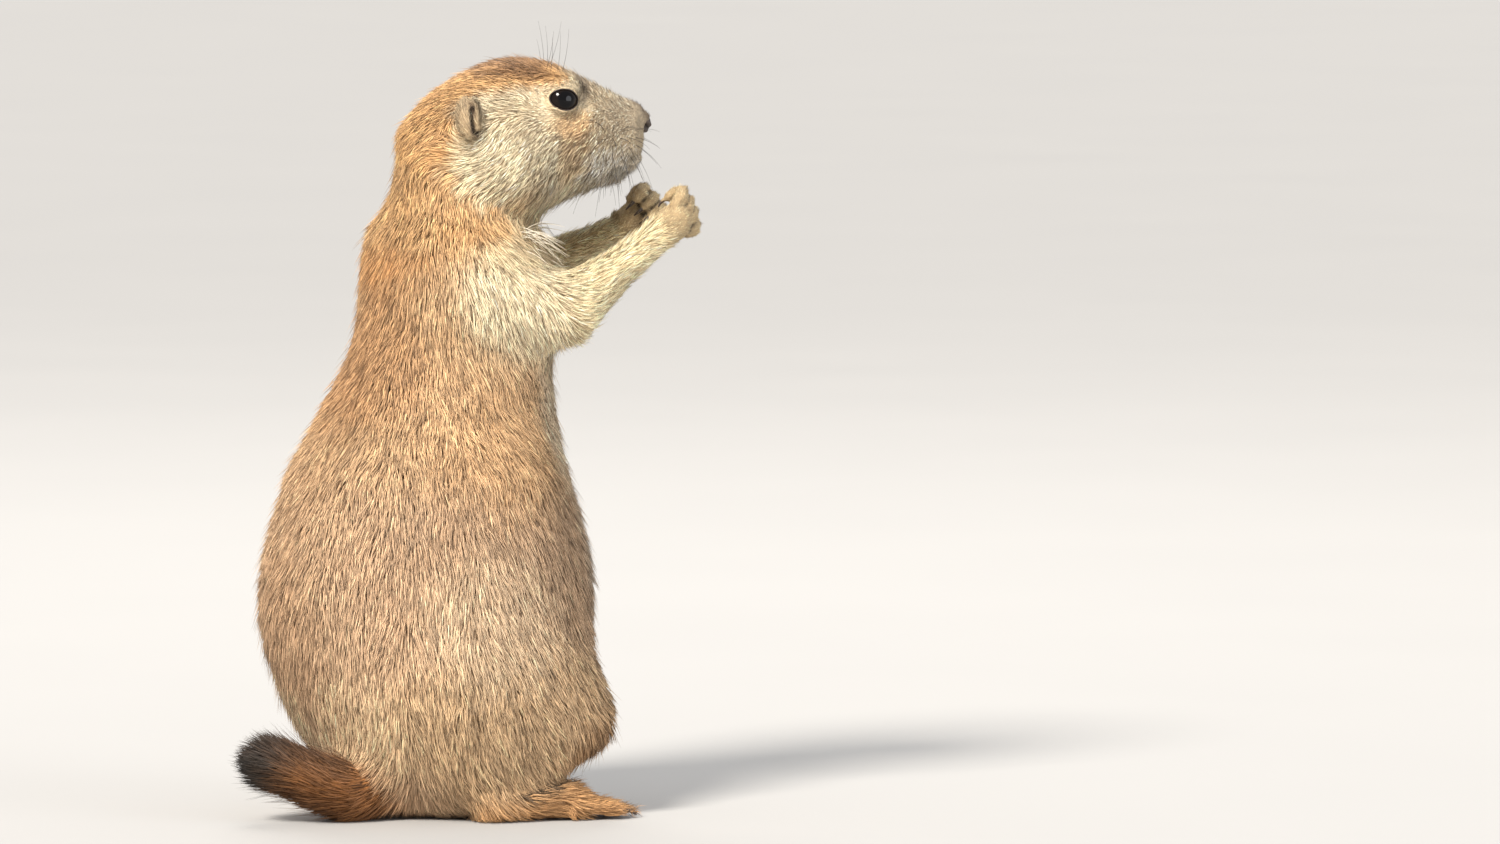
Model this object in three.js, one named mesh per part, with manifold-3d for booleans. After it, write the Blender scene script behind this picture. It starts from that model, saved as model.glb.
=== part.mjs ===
// Prairie dog sitting up on its haunches with both forepaws raised to its mouth, life size.
// Millimetres. +X is the way the body faces, +Y its left side, +Z up, and the floor is at z = 0.
// Each mass of the body is a rounded form with a signed distance. Masses are melted together, meshed by
// surfaceOf(), and parted into named nodes by thin cuts, so neighbours meet face to face.
import * as THREE from "three";
import { mergeGeometries, mergeVertices } from "three/addons/utils/BufferGeometryUtils.js";
import Module from "manifold-3d";

const wasm = await Module();
wasm.setup();
const { Manifold, Mesh } = wasm;

// Driving dimensions
const gap = 0.3; // between neighbouring nodes
const headTurn = THREE.MathUtils.degToRad(-22); // the head looks to the animal's right of its body
const neckAxis = 14; // x of the upright line the head turns about
const eyeRadius = 5.9;
const eyeCentre = { x: 31.6, y: 14.7, z: 246.1 }; // in the head's own frame, left side
const earCentre = { x: -0.4, y: 24, z: 238.6 };
const noseCentre = { x: 58.6, z: 240.2 };

// Where the body is parted
const headCut = { front: [28, 0, 205], back: [-22, 0, 226] }; // a slanting plane, in the head's frame
const neckCut = { front: [40, 0, 187], back: [-22, 0, 200] };
const waistCutZ = 118;

// Mesh fineness, the side of a cell
const cell = { head: 4, neck: 8, trunk: 9.5, arm: 5.5, leg: 9.3, foot: 5.4 };

// How far a node's finished surface may be moved to spare triangles
const slack = { head: 0.23, nose: 0.12, eye: 0.05, ear: 0.12, tail: 0.25 };
const slackFor = (name) => slack[name.split("_")[0]] ?? 0.3;

const vec = (x, y, z) => new THREE.Vector3(x, y, z);
const toVec = (p) => (p.isVector3 ? p.clone() : vec(...p));

// A point of the head's own frame, placed in the body's frame, and the way back
const turnAxis = vec(0, 0, 1);
const neckPoint = vec(neckAxis, 0, 0);
const headToBody = (p) => toVec(p).applyAxisAngle(turnAxis, headTurn).add(neckPoint);
const bodyToHead = (p) => p.clone().sub(neckPoint).applyAxisAngle(turnAxis, -headTurn);
const headWay = (p) => toVec(p).applyAxisAngle(turnAxis, headTurn);

// Signed distances

function ball(at, radii, pitchDeg = 0, yawDeg = 0) {
  const centre = toVec(at);
  const size = toVec(radii);
  const turn = new THREE.Quaternion().setFromEuler(
    new THREE.Euler(0, THREE.MathUtils.degToRad(pitchDeg), THREE.MathUtils.degToRad(yawDeg), "ZYX"),
  );
  turn.invert();
  return (p) => {
    const q = p.clone().sub(centre).applyQuaternion(turn).divide(size);
    const near = q.length();
    const steep = q.divide(size).length();
    return steep < 1e-9 ? -Math.min(size.x, size.y, size.z) : (near * (near - 1)) / steep;
  };
}

// A chain of tapering round lengths through points [x, y, z, radius]
function limb(...stops) {
  const joints = stops.map(([x, y, z, r]) => ({ at: vec(x, y, z), r }));
  return (p) => {
    let best = Infinity;
    for (let i = 1; i < joints.length; i++) {
      const a = joints[i - 1];
      const b = joints[i];
      const along = b.at.clone().sub(a.at);
      const share = THREE.MathUtils.clamp(p.clone().sub(a.at).dot(along) / along.lengthSq(), 0, 1);
      const away = p.distanceTo(a.at.clone().addScaledVector(along, share));
      best = Math.min(best, away - THREE.MathUtils.lerp(a.r, b.r, share));
    }
    return best;
  };
}

// A body of oval sections stacked along one axis; rows are [place, low side, high side, half width]
function stack(axis, rows) {
  const curve = (k) => {
    const line = rows.map((row) => row[k]);
    return (t) => {
      const i = THREE.MathUtils.clamp(rows.findIndex((row) => row[0] > t) - 1, 0, rows.length - 2);
      const at = t >= rows.at(-1)[0] ? rows.length - 2 : i;
      const span = rows[at + 1][0] - rows[at][0];
      const s = THREE.MathUtils.clamp((t - rows[at][0]) / span, 0, 1);
      const slope = (j) =>
        j <= 0 || j >= rows.length - 1
          ? (line[Math.min(j + 1, rows.length - 1)] - line[Math.max(j - 1, 0)]) /
            (rows[Math.min(j + 1, rows.length - 1)][0] - rows[Math.max(j - 1, 0)][0])
          : (line[j + 1] - line[j - 1]) / (rows[j + 1][0] - rows[j - 1][0]);
      const s2 = s * s;
      const s3 = s2 * s;
      return (
        (2 * s3 - 3 * s2 + 1) * line[at] +
        (s3 - 2 * s2 + s) * span * slope(at) +
        (3 * s2 - 2 * s3) * line[at + 1] +
        (s3 - s2) * span * slope(at + 1)
      );
    };
  };
  const [low, high, wide] = [curve(1), curve(2), curve(3)];
  const start = rows[0][0];
  const end = rows.at(-1)[0];
  return (p) => {
    const t = axis === "z" ? p.z : p.x;
    const across = axis === "z" ? p.x : p.z;
    const deep = (high(t) - low(t)) / 2;
    const middle = (high(t) + low(t)) / 2;
    const half = wide(t);
    const share = Math.hypot((across - middle) / deep, p.y / half);
    const side = (share - 1) * Math.min(deep, half);
    const over = Math.max(t - end, start - t);
    return over > 0 ? Math.hypot(Math.max(side, 0), over) : side;
  };
}

// Masses melted into one another over a width of soft mm
function melt(soft, ...fields) {
  return (p) =>
    fields
      .map((field) => field(p))
      .reduce((a, b) => {
        const h = Math.max(soft - Math.abs(a - b), 0) / soft;
        return Math.min(a, b) - (h * h * soft) / 4;
      });
}

const bothSides = (make) => [1, -1].map(make);
const inHead = (field) => (p) => field(bodyToHead(p));
const within = (low, high) => {
  const middle = toVec(low).add(toVec(high)).divideScalar(2);
  const half = toVec(high).sub(middle);
  return (p) => {
    const q = p.clone().sub(middle);
    return Math.max(Math.abs(q.x) - half.x, Math.abs(q.y) - half.y, Math.abs(q.z) - half.z);
  };
};

function gradient(field, p) {
  const step = 0.05;
  const g = vec(0, 0, 0);
  for (const k of ["x", "y", "z"]) {
    const a = p.clone();
    const b = p.clone();
    a[k] += step;
    b[k] -= step;
    g[k] = (field(a) - field(b)) / (2 * step);
  }
  return g;
}

// Moves a point onto a field's surface along its slope
function settle(field, p, rounds = 4) {
  const q = toVec(p);
  for (let i = 0; i < rounds; i++) {
    const g = gradient(field, q);
    q.addScaledVector(g, -field(q) / Math.max(g.lengthSq(), 0.05));
  }
  return q;
}

// The surface of a field inside a box, one point in each crossed cell, as a closed solid and a copy grown by the gap
function surfaceOf(whole, low, high, size) {
  const bound = within(low, high);
  const field = (p) => Math.max(whole(p), bound(p));
  const start = toVec(low).subScalar(1.5 * size);
  const count = toVec(high)
    .sub(start)
    .divideScalar(size)
    .ceil()
    .toArray()
    .map((n) => n + 2);
  const index = (i, j, k) => (k * count[1] + j) * count[0] + i;
  const place = (i, j, k) => start.clone().add(vec(i, j, k).multiplyScalar(size));
  const values = new Float64Array(count[0] * count[1] * count[2]);
  const each = (upTo, act) => {
    for (let k = 0; k < count[2] - upTo; k++)
      for (let j = 0; j < count[1] - upTo; j++) for (let i = 0; i < count[0] - upTo; i++) act(i, j, k);
  };
  each(0, (i, j, k) => (values[index(i, j, k)] = field(place(i, j, k))));

  const corners = [];
  for (let n = 0; n < 8; n++) corners.push([n & 1, (n >> 1) & 1, n >> 2]);
  const edges = [];
  for (let a = 0; a < 8; a++) for (const bit of [1, 2, 4]) if (!(a & bit)) edges.push([a, a | bit]);

  const pointOf = new Map();
  const points = [];
  each(1, (i, j, k) => {
    const v = corners.map(([a, b, c]) => values[index(i + a, j + b, k + c)]);
    const sum = vec(0, 0, 0);
    let crossed = 0;
    for (const [a, b] of edges) {
      if (v[a] < 0 === v[b] < 0) continue;
      const share = v[a] / (v[a] - v[b]);
      sum.add(vec(...corners[a]).lerp(vec(...corners[b]), share));
      crossed++;
    }
    if (!crossed) return;
    const rough = place(i, j, k).addScaledVector(sum, size / crossed);
    const fine = settle(field, rough, 3);
    pointOf.set(index(i, j, k), points.length);
    points.push(fine.distanceTo(rough) < 0.6 * size ? fine : rough);
  });

  const faces = [];
  const steps = [[1, 0, 0], [0, 1, 0], [0, 0, 1]];
  each(1, (i, j, k) => {
    steps.forEach((way, axis) => {
      const here = values[index(i, j, k)] < 0;
      if (here === values[index(i + way[0], j + way[1], k + way[2])] < 0) return;
      const [u, v] = [steps[(axis + 1) % 3], steps[(axis + 2) % 3]];
      const cellAt = (a, b) =>
        pointOf.get(index(i - a * u[0] - b * v[0], j - a * u[1] - b * v[1], k - a * u[2] - b * v[2]));
      const ring = [cellAt(1, 1), cellAt(0, 1), cellAt(0, 0), cellAt(1, 0)];
      if (!here) ring.reverse();
      const [a, b, c, d] = ring;
      if (points[a].distanceTo(points[c]) <= points[b].distanceTo(points[d])) faces.push(a, b, c, a, c, d);
      else faces.push(a, b, d, b, c, d);
    });
  });
  const grown = points.map((p) => p.clone().addScaledVector(gradient(field, p).normalize(), gap));
  return { solid: solidFrom(points, faces), grown: solidFrom(grown, faces) };
}

function solidFrom(points, faces) {
  const vertProperties = new Float32Array(points.flatMap((p) => p.toArray()));
  return new Manifold(new Mesh({ numProp: 3, vertProperties, triVerts: new Uint32Array(faces) }));
}

// A three.js geometry as a solid
function solidOf(geometry) {
  const bare = geometry.clone();
  for (const name of Object.keys(bare.attributes)) if (name !== "position") bare.deleteAttribute(name);
  const merged = mergeVertices(bare, 1e-4);
  return new Manifold(
    new Mesh({
      numProp: 3,
      vertProperties: new Float32Array(merged.attributes.position.array),
      triVerts: new Uint32Array(merged.index.array),
    }),
  );
}

const largest = (solid) => solid.decompose().reduce((a, b) => (b.volume() > a.volume() ? b : a));
const joined = (solids) => solids.reduce((a, b) => a.add(b));

// Keeps what lies on the side of a plane that its normal points to, with half the gap taken off
const keepAbove = (solid, normal, point) => {
  const n = normal.clone().normalize();
  return solid.trimByPlane(n.toArray(), n.dot(point) + gap / 2);
};
const keepBelow = (solid, normal, point) => keepAbove(solid, normal.clone().negate(), point);
const onFloor = (solid) => solid.trimByPlane([0, 0, 1], 0);

// A tapering tube of flat-sided rings through points [x, y, z, radius], closed by points at both ends
function tube(stops, sides = 6, flat = 1, across = vec(0, 1, 0)) {
  const line = stops.map(([x, y, z]) => vec(x, y, z));
  const points = [];
  const faces = [];
  const way = (i) =>
    line[Math.min(i + 1, line.length - 1)].clone().sub(line[Math.max(i - 1, 0)]).normalize();
  points.push(line[0].clone().addScaledVector(way(0), -0.4 * stops[0][3]));
  line.forEach((at, i) => {
    const ahead = way(i);
    const side = across.clone().addScaledVector(ahead, -across.dot(ahead)).normalize();
    const up = ahead.clone().cross(side);
    for (let n = 0; n < sides; n++) {
      const turn = (2 * Math.PI * n) / sides;
      const rim = side.clone().multiplyScalar(Math.cos(turn)).addScaledVector(up, flat * Math.sin(turn));
      points.push(at.clone().addScaledVector(rim, stops[i][3]));
    }
  });
  points.push(line.at(-1).clone().addScaledVector(way(line.length - 1), 0.4 * stops.at(-1)[3]));
  const ringAt = (i, n) => 1 + i * sides + (n % sides);
  for (let n = 0; n < sides; n++) {
    faces.push(0, ringAt(0, n + 1), ringAt(0, n));
    for (let i = 0; i < line.length - 1; i++) {
      faces.push(ringAt(i, n), ringAt(i, n + 1), ringAt(i + 1, n + 1));
      faces.push(ringAt(i, n), ringAt(i + 1, n + 1), ringAt(i + 1, n));
    }
    faces.push(points.length - 1, ringAt(line.length - 1, n), ringAt(line.length - 1, n + 1));
  }
  return solidFrom(points, faces);
}

const ovalSolid = (at, radii, turn = new THREE.Quaternion(), rounds = 16) =>
  solidOf(
    new THREE.SphereGeometry(1, rounds, Math.round(rounds * 0.6))
      .scale(...radii)
      .applyQuaternion(turn)
      .translate(...toVec(at).toArray()),
  );

// The head's masses

const skull = stack("x", [
  [-20, 216, 235, 17],
  [-13, 208, 245, 22],
  [-4, 204, 253, 25],
  [8, 203, 258.6, 26],
  [18, 205, 260, 25],
  [28, 208.5, 258.6, 22.6],
  [37, 212.5, 255, 18.8],
  [46, 216, 250.2, 14.6],
  [53, 218.6, 246.8, 11.6],
  [58, 222.5, 244.2, 8.6],
  [61, 228, 242, 5.4],
]);
const headField = inHead(
  melt(
    3,
    skull,
    ...bothSides((side) => ball([13, side * 14.5, 222], [19, 12.5, 14.5], 6)), // cheeks
    ...bothSides((side) => ball([52.5, side * 5.2, 230.5], [7.6, 6.4, 7.6])), // whisker pads
    ...bothSides((side) => ball([32, side * 13.6, 250.4], [11, 6.5, 5.4], 10)), // brows
    ball([49, 0, 221.8], [8, 6.2, 4], -12), // chin
    ball([57.6, 0, 239.6], [4.7, 4.9, 4.6], 20), // root of the nose
  ),
);
const throatField = limb([8, 0, 188, 26], [11.5, 0, 206, 25.5], [11, 1, 226, 21]);

// The trunk's masses

const trunkCore = stack("z", [
  [-2, -20, 22, 24],
  [6, -31, 36, 37],
  [18, -39.5, 45, 45],
  [38, -51, 52, 51.5],
  [60, -60.5, 58, 54.5],
  [80, -62.6, 60, 54.5],
  [100, -58, 56, 50.5],
  [120, -50.5, 49.5, 45],
  [140, -39, 45.5, 39.5],
  [155, -30, 44, 36],
  [172, -24.5, 42.5, 33],
  [190, -22, 39, 30],
  [203, -16, 32, 25],
  [212, -6, 22, 15],
]);
const shoulderBlades = bothSides((side) => ball([-2, side * 19, 184], [15, 11, 23], -8));
const flankFolds = bothSides((side) => ball([2, side * 30, 100], [34, 24, 38]));
const trunkField = melt(10, trunkCore, ...shoulderBlades, ...flankFolds);

// The limbs, right then left. The near (right) elbow stands further out, and the left paw is held higher.
const arms = {
  right: {
    shoulder: [12, -24, 181, 17],
    elbow: [33, -36.5, 174.2, 12],
    middle: [53, -37, 187.5, 7.8],
    wrist: [70, -37, 200, 6.4],
    palm: [76.9, -36.6, 204.2],
  },
  left: {
    shoulder: [14, 24, 183, 17],
    elbow: [47, 27, 181, 10.5],
    middle: [59, 9, 191.5, 7.4],
    wrist: [70.5, -7, 200, 5.8],
    palm: [75.6, -10.4, 204.6],
  },
};
const legs = {
  right: { side: -1, hip: [-8, -32, 46], knee: [40.5, -39, 33.5], ankle: [4, -38, 14], toe: [49, -42] },
  left: { side: 1, hip: [-8, 32, 46], knee: [40.5, 39, 33.5], ankle: [4, 38, 14], toe: [49, 42] },
};

const upperArmField = ({ shoulder, elbow }) => limb(shoulder, elbow);
const forearmField = ({ elbow, middle, wrist, palm }) => limb(elbow, middle, wrist, [...palm, 6.2]);

// The palm seen along its fingers: forward is the forearm's line, inward the way the fingers curl
const curlWay = [-0.15, -0.9, 0.12]; // on the left paw
function pawFrame(arm, side) {
  const wrist = vec(...arm.wrist.slice(0, 3));
  const palm = vec(...arm.palm);
  const forward = palm.clone().sub(wrist).normalize();
  const inward = vec(...curlWay).multiply(vec(1, side, 1));
  inward.addScaledVector(forward, -inward.dot(forward)).normalize();
  const up = forward.clone().cross(inward).multiplyScalar(side > 0 ? 1 : -1);
  return { palm, forward, inward, up };
}

const digitCount = { fore: 4, hind: 5 };
const digitRadius = { fore: 2.45, hind: 3 };
const digitApart = { fore: 4.3, hind: 3.9 };

// A forepaw's fingers, closed over the palm in a loose fist, each ending in a claw
function fingers(arm, side) {
  const { palm, forward, inward, up } = pawFrame(arm, side);
  const at = (f, n, u) => palm.clone().addScaledVector(forward, f).addScaledVector(inward, n).addScaledVector(up, u);
  const made = [];
  for (let i = 0; i < digitCount.fore; i++) {
    const spread = (i - (digitCount.fore - 1) / 2) * digitApart.fore;
    const reach = 7.4 - 0.5 * (i - 1.3) ** 2;
    const r = digitRadius.fore;
    const bone = [
      [...at(0.4, -0.9, spread * 0.8).toArray(), r * 0.9],
      [...at(reach - 2, -0.7, spread).toArray(), r * 1.08],
      [...at(reach + 0.9, 2, spread * 1.02).toArray(), r],
      [...at(reach - 0.6, 5, spread * 0.97).toArray(), r * 0.92],
      [...at(reach - 3.6, 5.9, spread * 0.88).toArray(), r * 0.76],
    ];
    const claw = [
      [...at(reach - 3, 6.2, spread * 0.9).toArray(), 1],
      [...at(reach - 5.6, 7, spread * 0.84).toArray(), 0.8],
      [...at(reach - 7.8, 6.2, spread * 0.78).toArray(), 0.3],
    ];
    made.push(tube(bone, 6, 1, up), tube(claw, 4, 1, up));
  }
  return joined(made);
}

// A hind foot: long flat sole, five toes and their claws, forward along the floor
const footField = (leg) =>
  melt(
    3,
    limb([...leg.ankle.slice(0, 2), 8, 8.5], [leg.toe[0] - 18, leg.toe[1], 6, 7]),
    ball([leg.toe[0] - 15, leg.toe[1], 4.6], [9, 9.4, 5.2]),
  );

function toes(leg) {
  const made = [];
  for (let i = 0; i < digitCount.hind; i++) {
    const across = i - (digitCount.hind - 1) / 2;
    const reach = -0.9 * across * across;
    const r = digitRadius.hind;
    const x = leg.toe[0] + reach;
    const y = leg.toe[1] + across * digitApart.hind;
    const splay = across * 0.55;
    const bone = [
      [x - 16, y - splay, 3.6, r],
      [x - 7, y, 4.2, r * 1.05],
      [x - 1.5, y + splay, 3, r],
      [x + 2, y + splay * 1.4, 2.2, r * 0.8],
    ];
    const claw = [
      [x + 0.5, y + splay * 1.2, 3.4, 1.25],
      [x + 4.6, y + splay * 1.6, 3, 1],
      [x + 7.8, y + splay * 1.9, 1.2, 0.35],
    ];
    made.push(tube(bone, 6, 1, vec(0, 1, 0)), tube(claw, 4, 1, vec(0, 1, 0)));
  }
  return joined(made);
}

const thighField = ({ side, hip, knee }) =>
  melt(
    10,
    ball([4, side * 34, 43], [43, 22, 32], 10, side * 6),
    limb([...hip, 24], [knee[0] - 4, knee[1], knee[2] + 2, 14]),
  );
const shankField = ({ knee, ankle }) => limb([...knee, 12.5], [...ankle, 9.5]);

// The tail leaves the rump low down, lies back along the floor and lifts at its blunt dark tip
const tailLine = [
  [-16, -9, 10.5, 9.4],
  [-31, -13, 11, 9],
  [-45, -14, 13, 7.4],
  [-56, -11, 17, 5.4],
  [-64, -8, 20, 4.8],
  [-70, -5, 21.8, 3.6],
];
const tailBrushFrom = 0.46; // share of the line where the dark brush begins
const lockSeed = 9;

function seeded(seed) {
  let state = seed;
  return () => {
    state = (state * 16807) % 2147483647;
    return state / 2147483647;
  };
}

// One flat tapering lock of hair that leaves its root along way and bends over, away from lean
function lock(root, way, lean, length, width, thick) {
  const across = way.clone().cross(lean).normalize();
  const shape = [
    [-0.2, 0.9],
    [0.45, 1],
    [1, 0.16],
  ];
  const stops = shape.map(([t, share]) => {
    const at = root.clone().addScaledVector(way, length * t);
    at.addScaledVector(lean, -length * 0.2 * Math.max(t, 0) ** 2);
    return [...at.toArray(), width * share];
  });
  return tube(stops, 4, thick / width, across);
}

// Locks set in rings along a stretch of the tail, pointing back along it and outward
function tailLocks({ from, to, rings, perRing, long, spread }) {
  const random = seeded(lockSeed + rings);
  const made = [];
  for (let ring = 0; ring < rings; ring++) {
    const t = THREE.MathUtils.lerp(from, to, ring / Math.max(rings - 1, 1));
    const at = tailCurve.getPoint(t);
    const along = tailCurve.getTangent(t);
    const side = vec(0, 0, 1).cross(along).normalize();
    const up = along.clone().cross(side);
    for (let n = 0; n < perRing; n++) {
      const turn = (2 * Math.PI * (n + 0.5 * (ring % 2) + 0.25 * (random() - 0.5))) / perRing;
      const out = side.clone().multiplyScalar(Math.cos(turn)).addScaledVector(up, Math.sin(turn));
      const way = along.clone().addScaledVector(out, spread * (0.85 + 0.3 * random())).normalize();
      const root = at.clone().addScaledVector(out, tailRadius(t) * 0.62);
      made.push(lock(root, way, out, long * (0.85 + 0.3 * random()), 3.3, 1.8));
    }
  }
  return joined(made);
}

// Head details

const headTurnQuat = new THREE.Quaternion().setFromAxisAngle(turnAxis, headTurn);
const headOval = (at, radii, pitch = 0, yaw = 0, rounds = 16) =>
  ovalSolid(
    headToBody(at),
    radii,
    headTurnQuat
      .clone()
      .multiply(
        new THREE.Quaternion().setFromEuler(
          new THREE.Euler(0, THREE.MathUtils.degToRad(pitch), THREE.MathUtils.degToRad(yaw), "ZYX"),
        ),
      ),
    rounds,
  );

const sidePoint = (p, side) => [p.x, side * p.y, p.z];

const eyeBall = (side, extra = 0) =>
  headOval(sidePoint(eyeCentre, side), [eyeRadius + extra, eyeRadius + extra, eyeRadius + extra], 0, 0, 14);

// Two lids: a thin shell over the ball, open in an almond that looks outwards
function lids(side) {
  const at = sidePoint(eyeCentre, side);
  const shell = headOval(at, [eyeRadius + 1.15, eyeRadius + 1.1, eyeRadius + 1], 0, 0, 16);
  const opening = headOval([at[0] + 0.5, side * (eyeCentre.y + 6.4), at[2]], [5.1, 7, 3.7], 6, 0, 14);
  return { shell, opening };
}

// The ear: a small low cup with a thick rim, open in an upright slit that hooks forward at its foot
function ear(side) {
  const at = sidePoint(earCentre, side);
  const turned = (place, radii, rounds) => headOval(place, radii, -8, side * -24, rounds);
  const outer = (extra) => turned(at, [4.7 + extra, 4.4 + extra, 8.2 + extra], 13);
  const slit = turned([at[0] + 0.5, at[1] + side * 3.4, at[2] + 0.9], [1.35, 5, 4.9], 11);
  const hook = turned([at[0] + 2.6, at[1] + side * 2.8, at[2] - 3.3], [2.3, 4.4, 1.15], 9);
  return { solid: outer(0).subtract(slit).subtract(hook), grown: outer(gap) };
}

// The nose pad with its two comma-shaped nostrils
function nose() {
  const at = [noseCentre.x, 0, noseCentre.z];
  const pad = (extra) =>
    headOval([at[0] + 1.6, 0, at[2] - 2.2], [3.7 + extra, 4.3 + extra, 4 + extra], 24, 0, 13);
  const nostril = (side) =>
    tube(
      [
        [...headToBody([at[0] + 5.1, side * 1.2, at[2] - 4.4]).toArray(), 0.8],
        [...headToBody([at[0] + 4, side * 2.8, at[2] - 3.8]).toArray(), 0.75],
        [...headToBody([at[0] + 2.2, side * 4.6, at[2] - 2.6]).toArray(), 0.5],
      ],
      6,
    );
  return { solid: pad(0).subtract(nostril(1)).subtract(nostril(-1)), grown: pad(gap) };
}

// The mouth runs round the front of the muzzle between two low lips
const mouthStops = [
  [42, 15, 220.6],
  [48, 11.5, 220.4],
  [53.5, 8.5, 221.6],
  [57.6, 4.5, 223.2],
  [59.5, 0, 224],
];
function mouthLine(rise) {
  const half = mouthStops.map(([x, y, z]) => [x, y, z + rise]);
  const stops = [...half, ...half.slice(0, -1).reverse().map(([x, y, z]) => [x, -y, z])];
  const curve = new THREE.CatmullRomCurve3(stops.map((p) => settle(headField, headToBody(p))));
  return curve.getPoints(12).map((p) => settle(headField, p));
}
const alongMouth = (rise, radius, sides) => {
  const line = mouthLine(rise);
  const ends = (i) => Math.min(1, 0.35 + 0.25 * Math.min(i, line.length - 1 - i));
  return tube(line.map((p, i) => [...p.toArray(), radius * ends(i)]), sides, 1, vec(0, 0, 1));
};

// Materials, from the photograph's colours
const paint = (colour, roughness) => new THREE.MeshStandardMaterial({ color: colour, roughness, metalness: 0 });
const coats = {
  back: paint(0xc39a6c, 0.95),
  chest: paint(0xd4ab78, 0.95),
  nape: paint(0xd6a972, 0.95),
  face: paint(0xcdb896, 0.95),
  arm: paint(0xd8bd8c, 0.95),
  foot: paint(0xb98e5a, 0.95),
  tail: paint(0x9a6a3a, 0.95),
  brush: paint(0x3e3126, 0.95),
  nose: paint(0x5a4a40, 0.7),
  eye: paint(0x0b0908, 0.1),
};

function meshOf(name, solid, material) {
  const { vertProperties, triVerts, numProp } = largest(solid.simplify(slackFor(name))).getMesh();
  const position = new Float32Array((vertProperties.length / numProp) * 3);
  for (let i = 0; i * numProp < vertProperties.length; i++)
    position.set(vertProperties.subarray(i * numProp, i * numProp + 3), i * 3);
  const geometry = new THREE.BufferGeometry()
    .setAttribute("position", new THREE.BufferAttribute(position, 3))
    .setIndex(new THREE.BufferAttribute(new Uint32Array(triVerts), 1));
  geometry.computeVertexNormals();
  const mesh = new THREE.Mesh(geometry, material);
  mesh.name = name;
  return mesh;
}

// Assembly

const body = new THREE.Group();
const add = (name, solid, material) => body.add(meshOf(name, solid, material));

const sides = { right: -1, left: 1 };
const across = ({ front, back }) => vec(back[2] - front[2], 0, front[0] - back[0]); // upward normal of a cut
const headNormal = headWay(across(headCut));
const headPoint = headToBody(headCut.front);
const neckNormal = across(neckCut);
const neckPlace = vec(...neckCut.front);
const upward = vec(0, 0, 1);
const waist = vec(0, 0, waistCutZ);

const eyes = {};
const ears = {};
for (const [name, side] of Object.entries(sides)) {
  eyes[name] = { solid: eyeBall(side), grown: eyeBall(side, gap) };
  ears[name] = ear(side);
}
const nosePad = nose();

// The one skin of the whole animal, so that its parts match where they are parted
const coreField = melt(8, headField, throatField, trunkField);
const limbsOf = (make) => [make("right"), make("left")];
const skinField = melt(
  4,
  melt(
    14,
    coreField,
    ...limbsOf((name) => upperArmField(arms[name])),
    ...limbsOf((name) => thighField(legs[name])),
  ),
  ...limbsOf((name) => forearmField(arms[name])),
  ...limbsOf((name) => shankField(legs[name])),
);
const trunk = surfaceOf(skinField, [-70, -66, -8], [72, 66, 214], cell.trunk);
const throat = surfaceOf(skinField, [-40, -50, 176], [44, 50, 244], cell.neck);

// The room a limb takes out of the body: the same chain, stouter
const armRoom = ({ shoulder, elbow, middle, wrist, palm }) =>
  limb(...[shoulder, elbow, middle, wrist].map(([x, y, z, r]) => [x, y, z, r + 4.5]), [...palm, 11]);
const legRoom = ({ side, knee, ankle }) =>
  melt(8, ball([4, side * 36, 43], [47, 27, 36], 10, side * 6), limb([...knee, 19], [...ankle, 16]));

function buildHead() {
  const skin = surfaceOf(coreField, [-22, -48, 192], [78, 32, 266], cell.head).solid;
  let head = keepAbove(skin.simplify(0.1), headNormal, headPoint);
  head = head.add(alongMouth(1.5, 1.15, 5)).add(alongMouth(-1.5, 1.15, 5));
  head = head.subtract(alongMouth(0, 0.75, 5));
  for (const [name, side] of Object.entries(sides)) {
    const { shell, opening } = lids(side);
    head = head.add(shell).subtract(opening).subtract(eyes[name].grown).subtract(ears[name].grown);
  }
  return head.subtract(nosePad.grown);
}

const armRooms = {};
const legRooms = {};
const armSkins = {};
const legSkins = {};
const feet = {};
for (const name of Object.keys(sides)) {
  const arm = arms[name];
  const low = [-14, Math.min(arm.shoulder[1], arm.palm[1]) - 24, 150];
  const high = [96, Math.max(arm.shoulder[1], arm.palm[1]) + 24, 224];
  armRooms[name] = surfaceOf(armRoom(arm), low, high, cell.arm * 1.5);
  armSkins[name] = surfaceOf(skinField, low, high, cell.arm).solid;
  const leg = legs[name];
  const legLow = [-52, Math.min(0, leg.side * 72), -8];
  const legHigh = [68, Math.max(0, leg.side * 72), 88];
  legRooms[name] = surfaceOf(legRoom(leg), legLow, legHigh, cell.leg * 1.3);
  legSkins[name] = surfaceOf(skinField, legLow, legHigh, cell.leg).solid;
  const footLow = [-12, leg.toe[1] - 16, -8];
  feet[name] = surfaceOf(footField(leg), footLow, [leg.toe[0], leg.toe[1] + 16, 24], cell.foot);
}

const tailCurve = new THREE.CatmullRomCurve3(tailLine.map(([x, y, z]) => vec(x, y, z)));
const tailRadius = (t) => {
  const at = t * (tailLine.length - 1);
  const i = Math.min(Math.floor(at), tailLine.length - 2);
  return THREE.MathUtils.lerp(tailLine[i][3], tailLine[i + 1][3], at - i);
};
const tailRings = 12;
const tailCore = (extra) =>
  tube(
    Array.from({ length: tailRings }, (_, i) => {
      const t = i / (tailRings - 1);
      return [...tailCurve.getPoint(t).toArray(), tailRadius(t) + extra];
    }),
    10,
    1,
    upward,
  );

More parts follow.
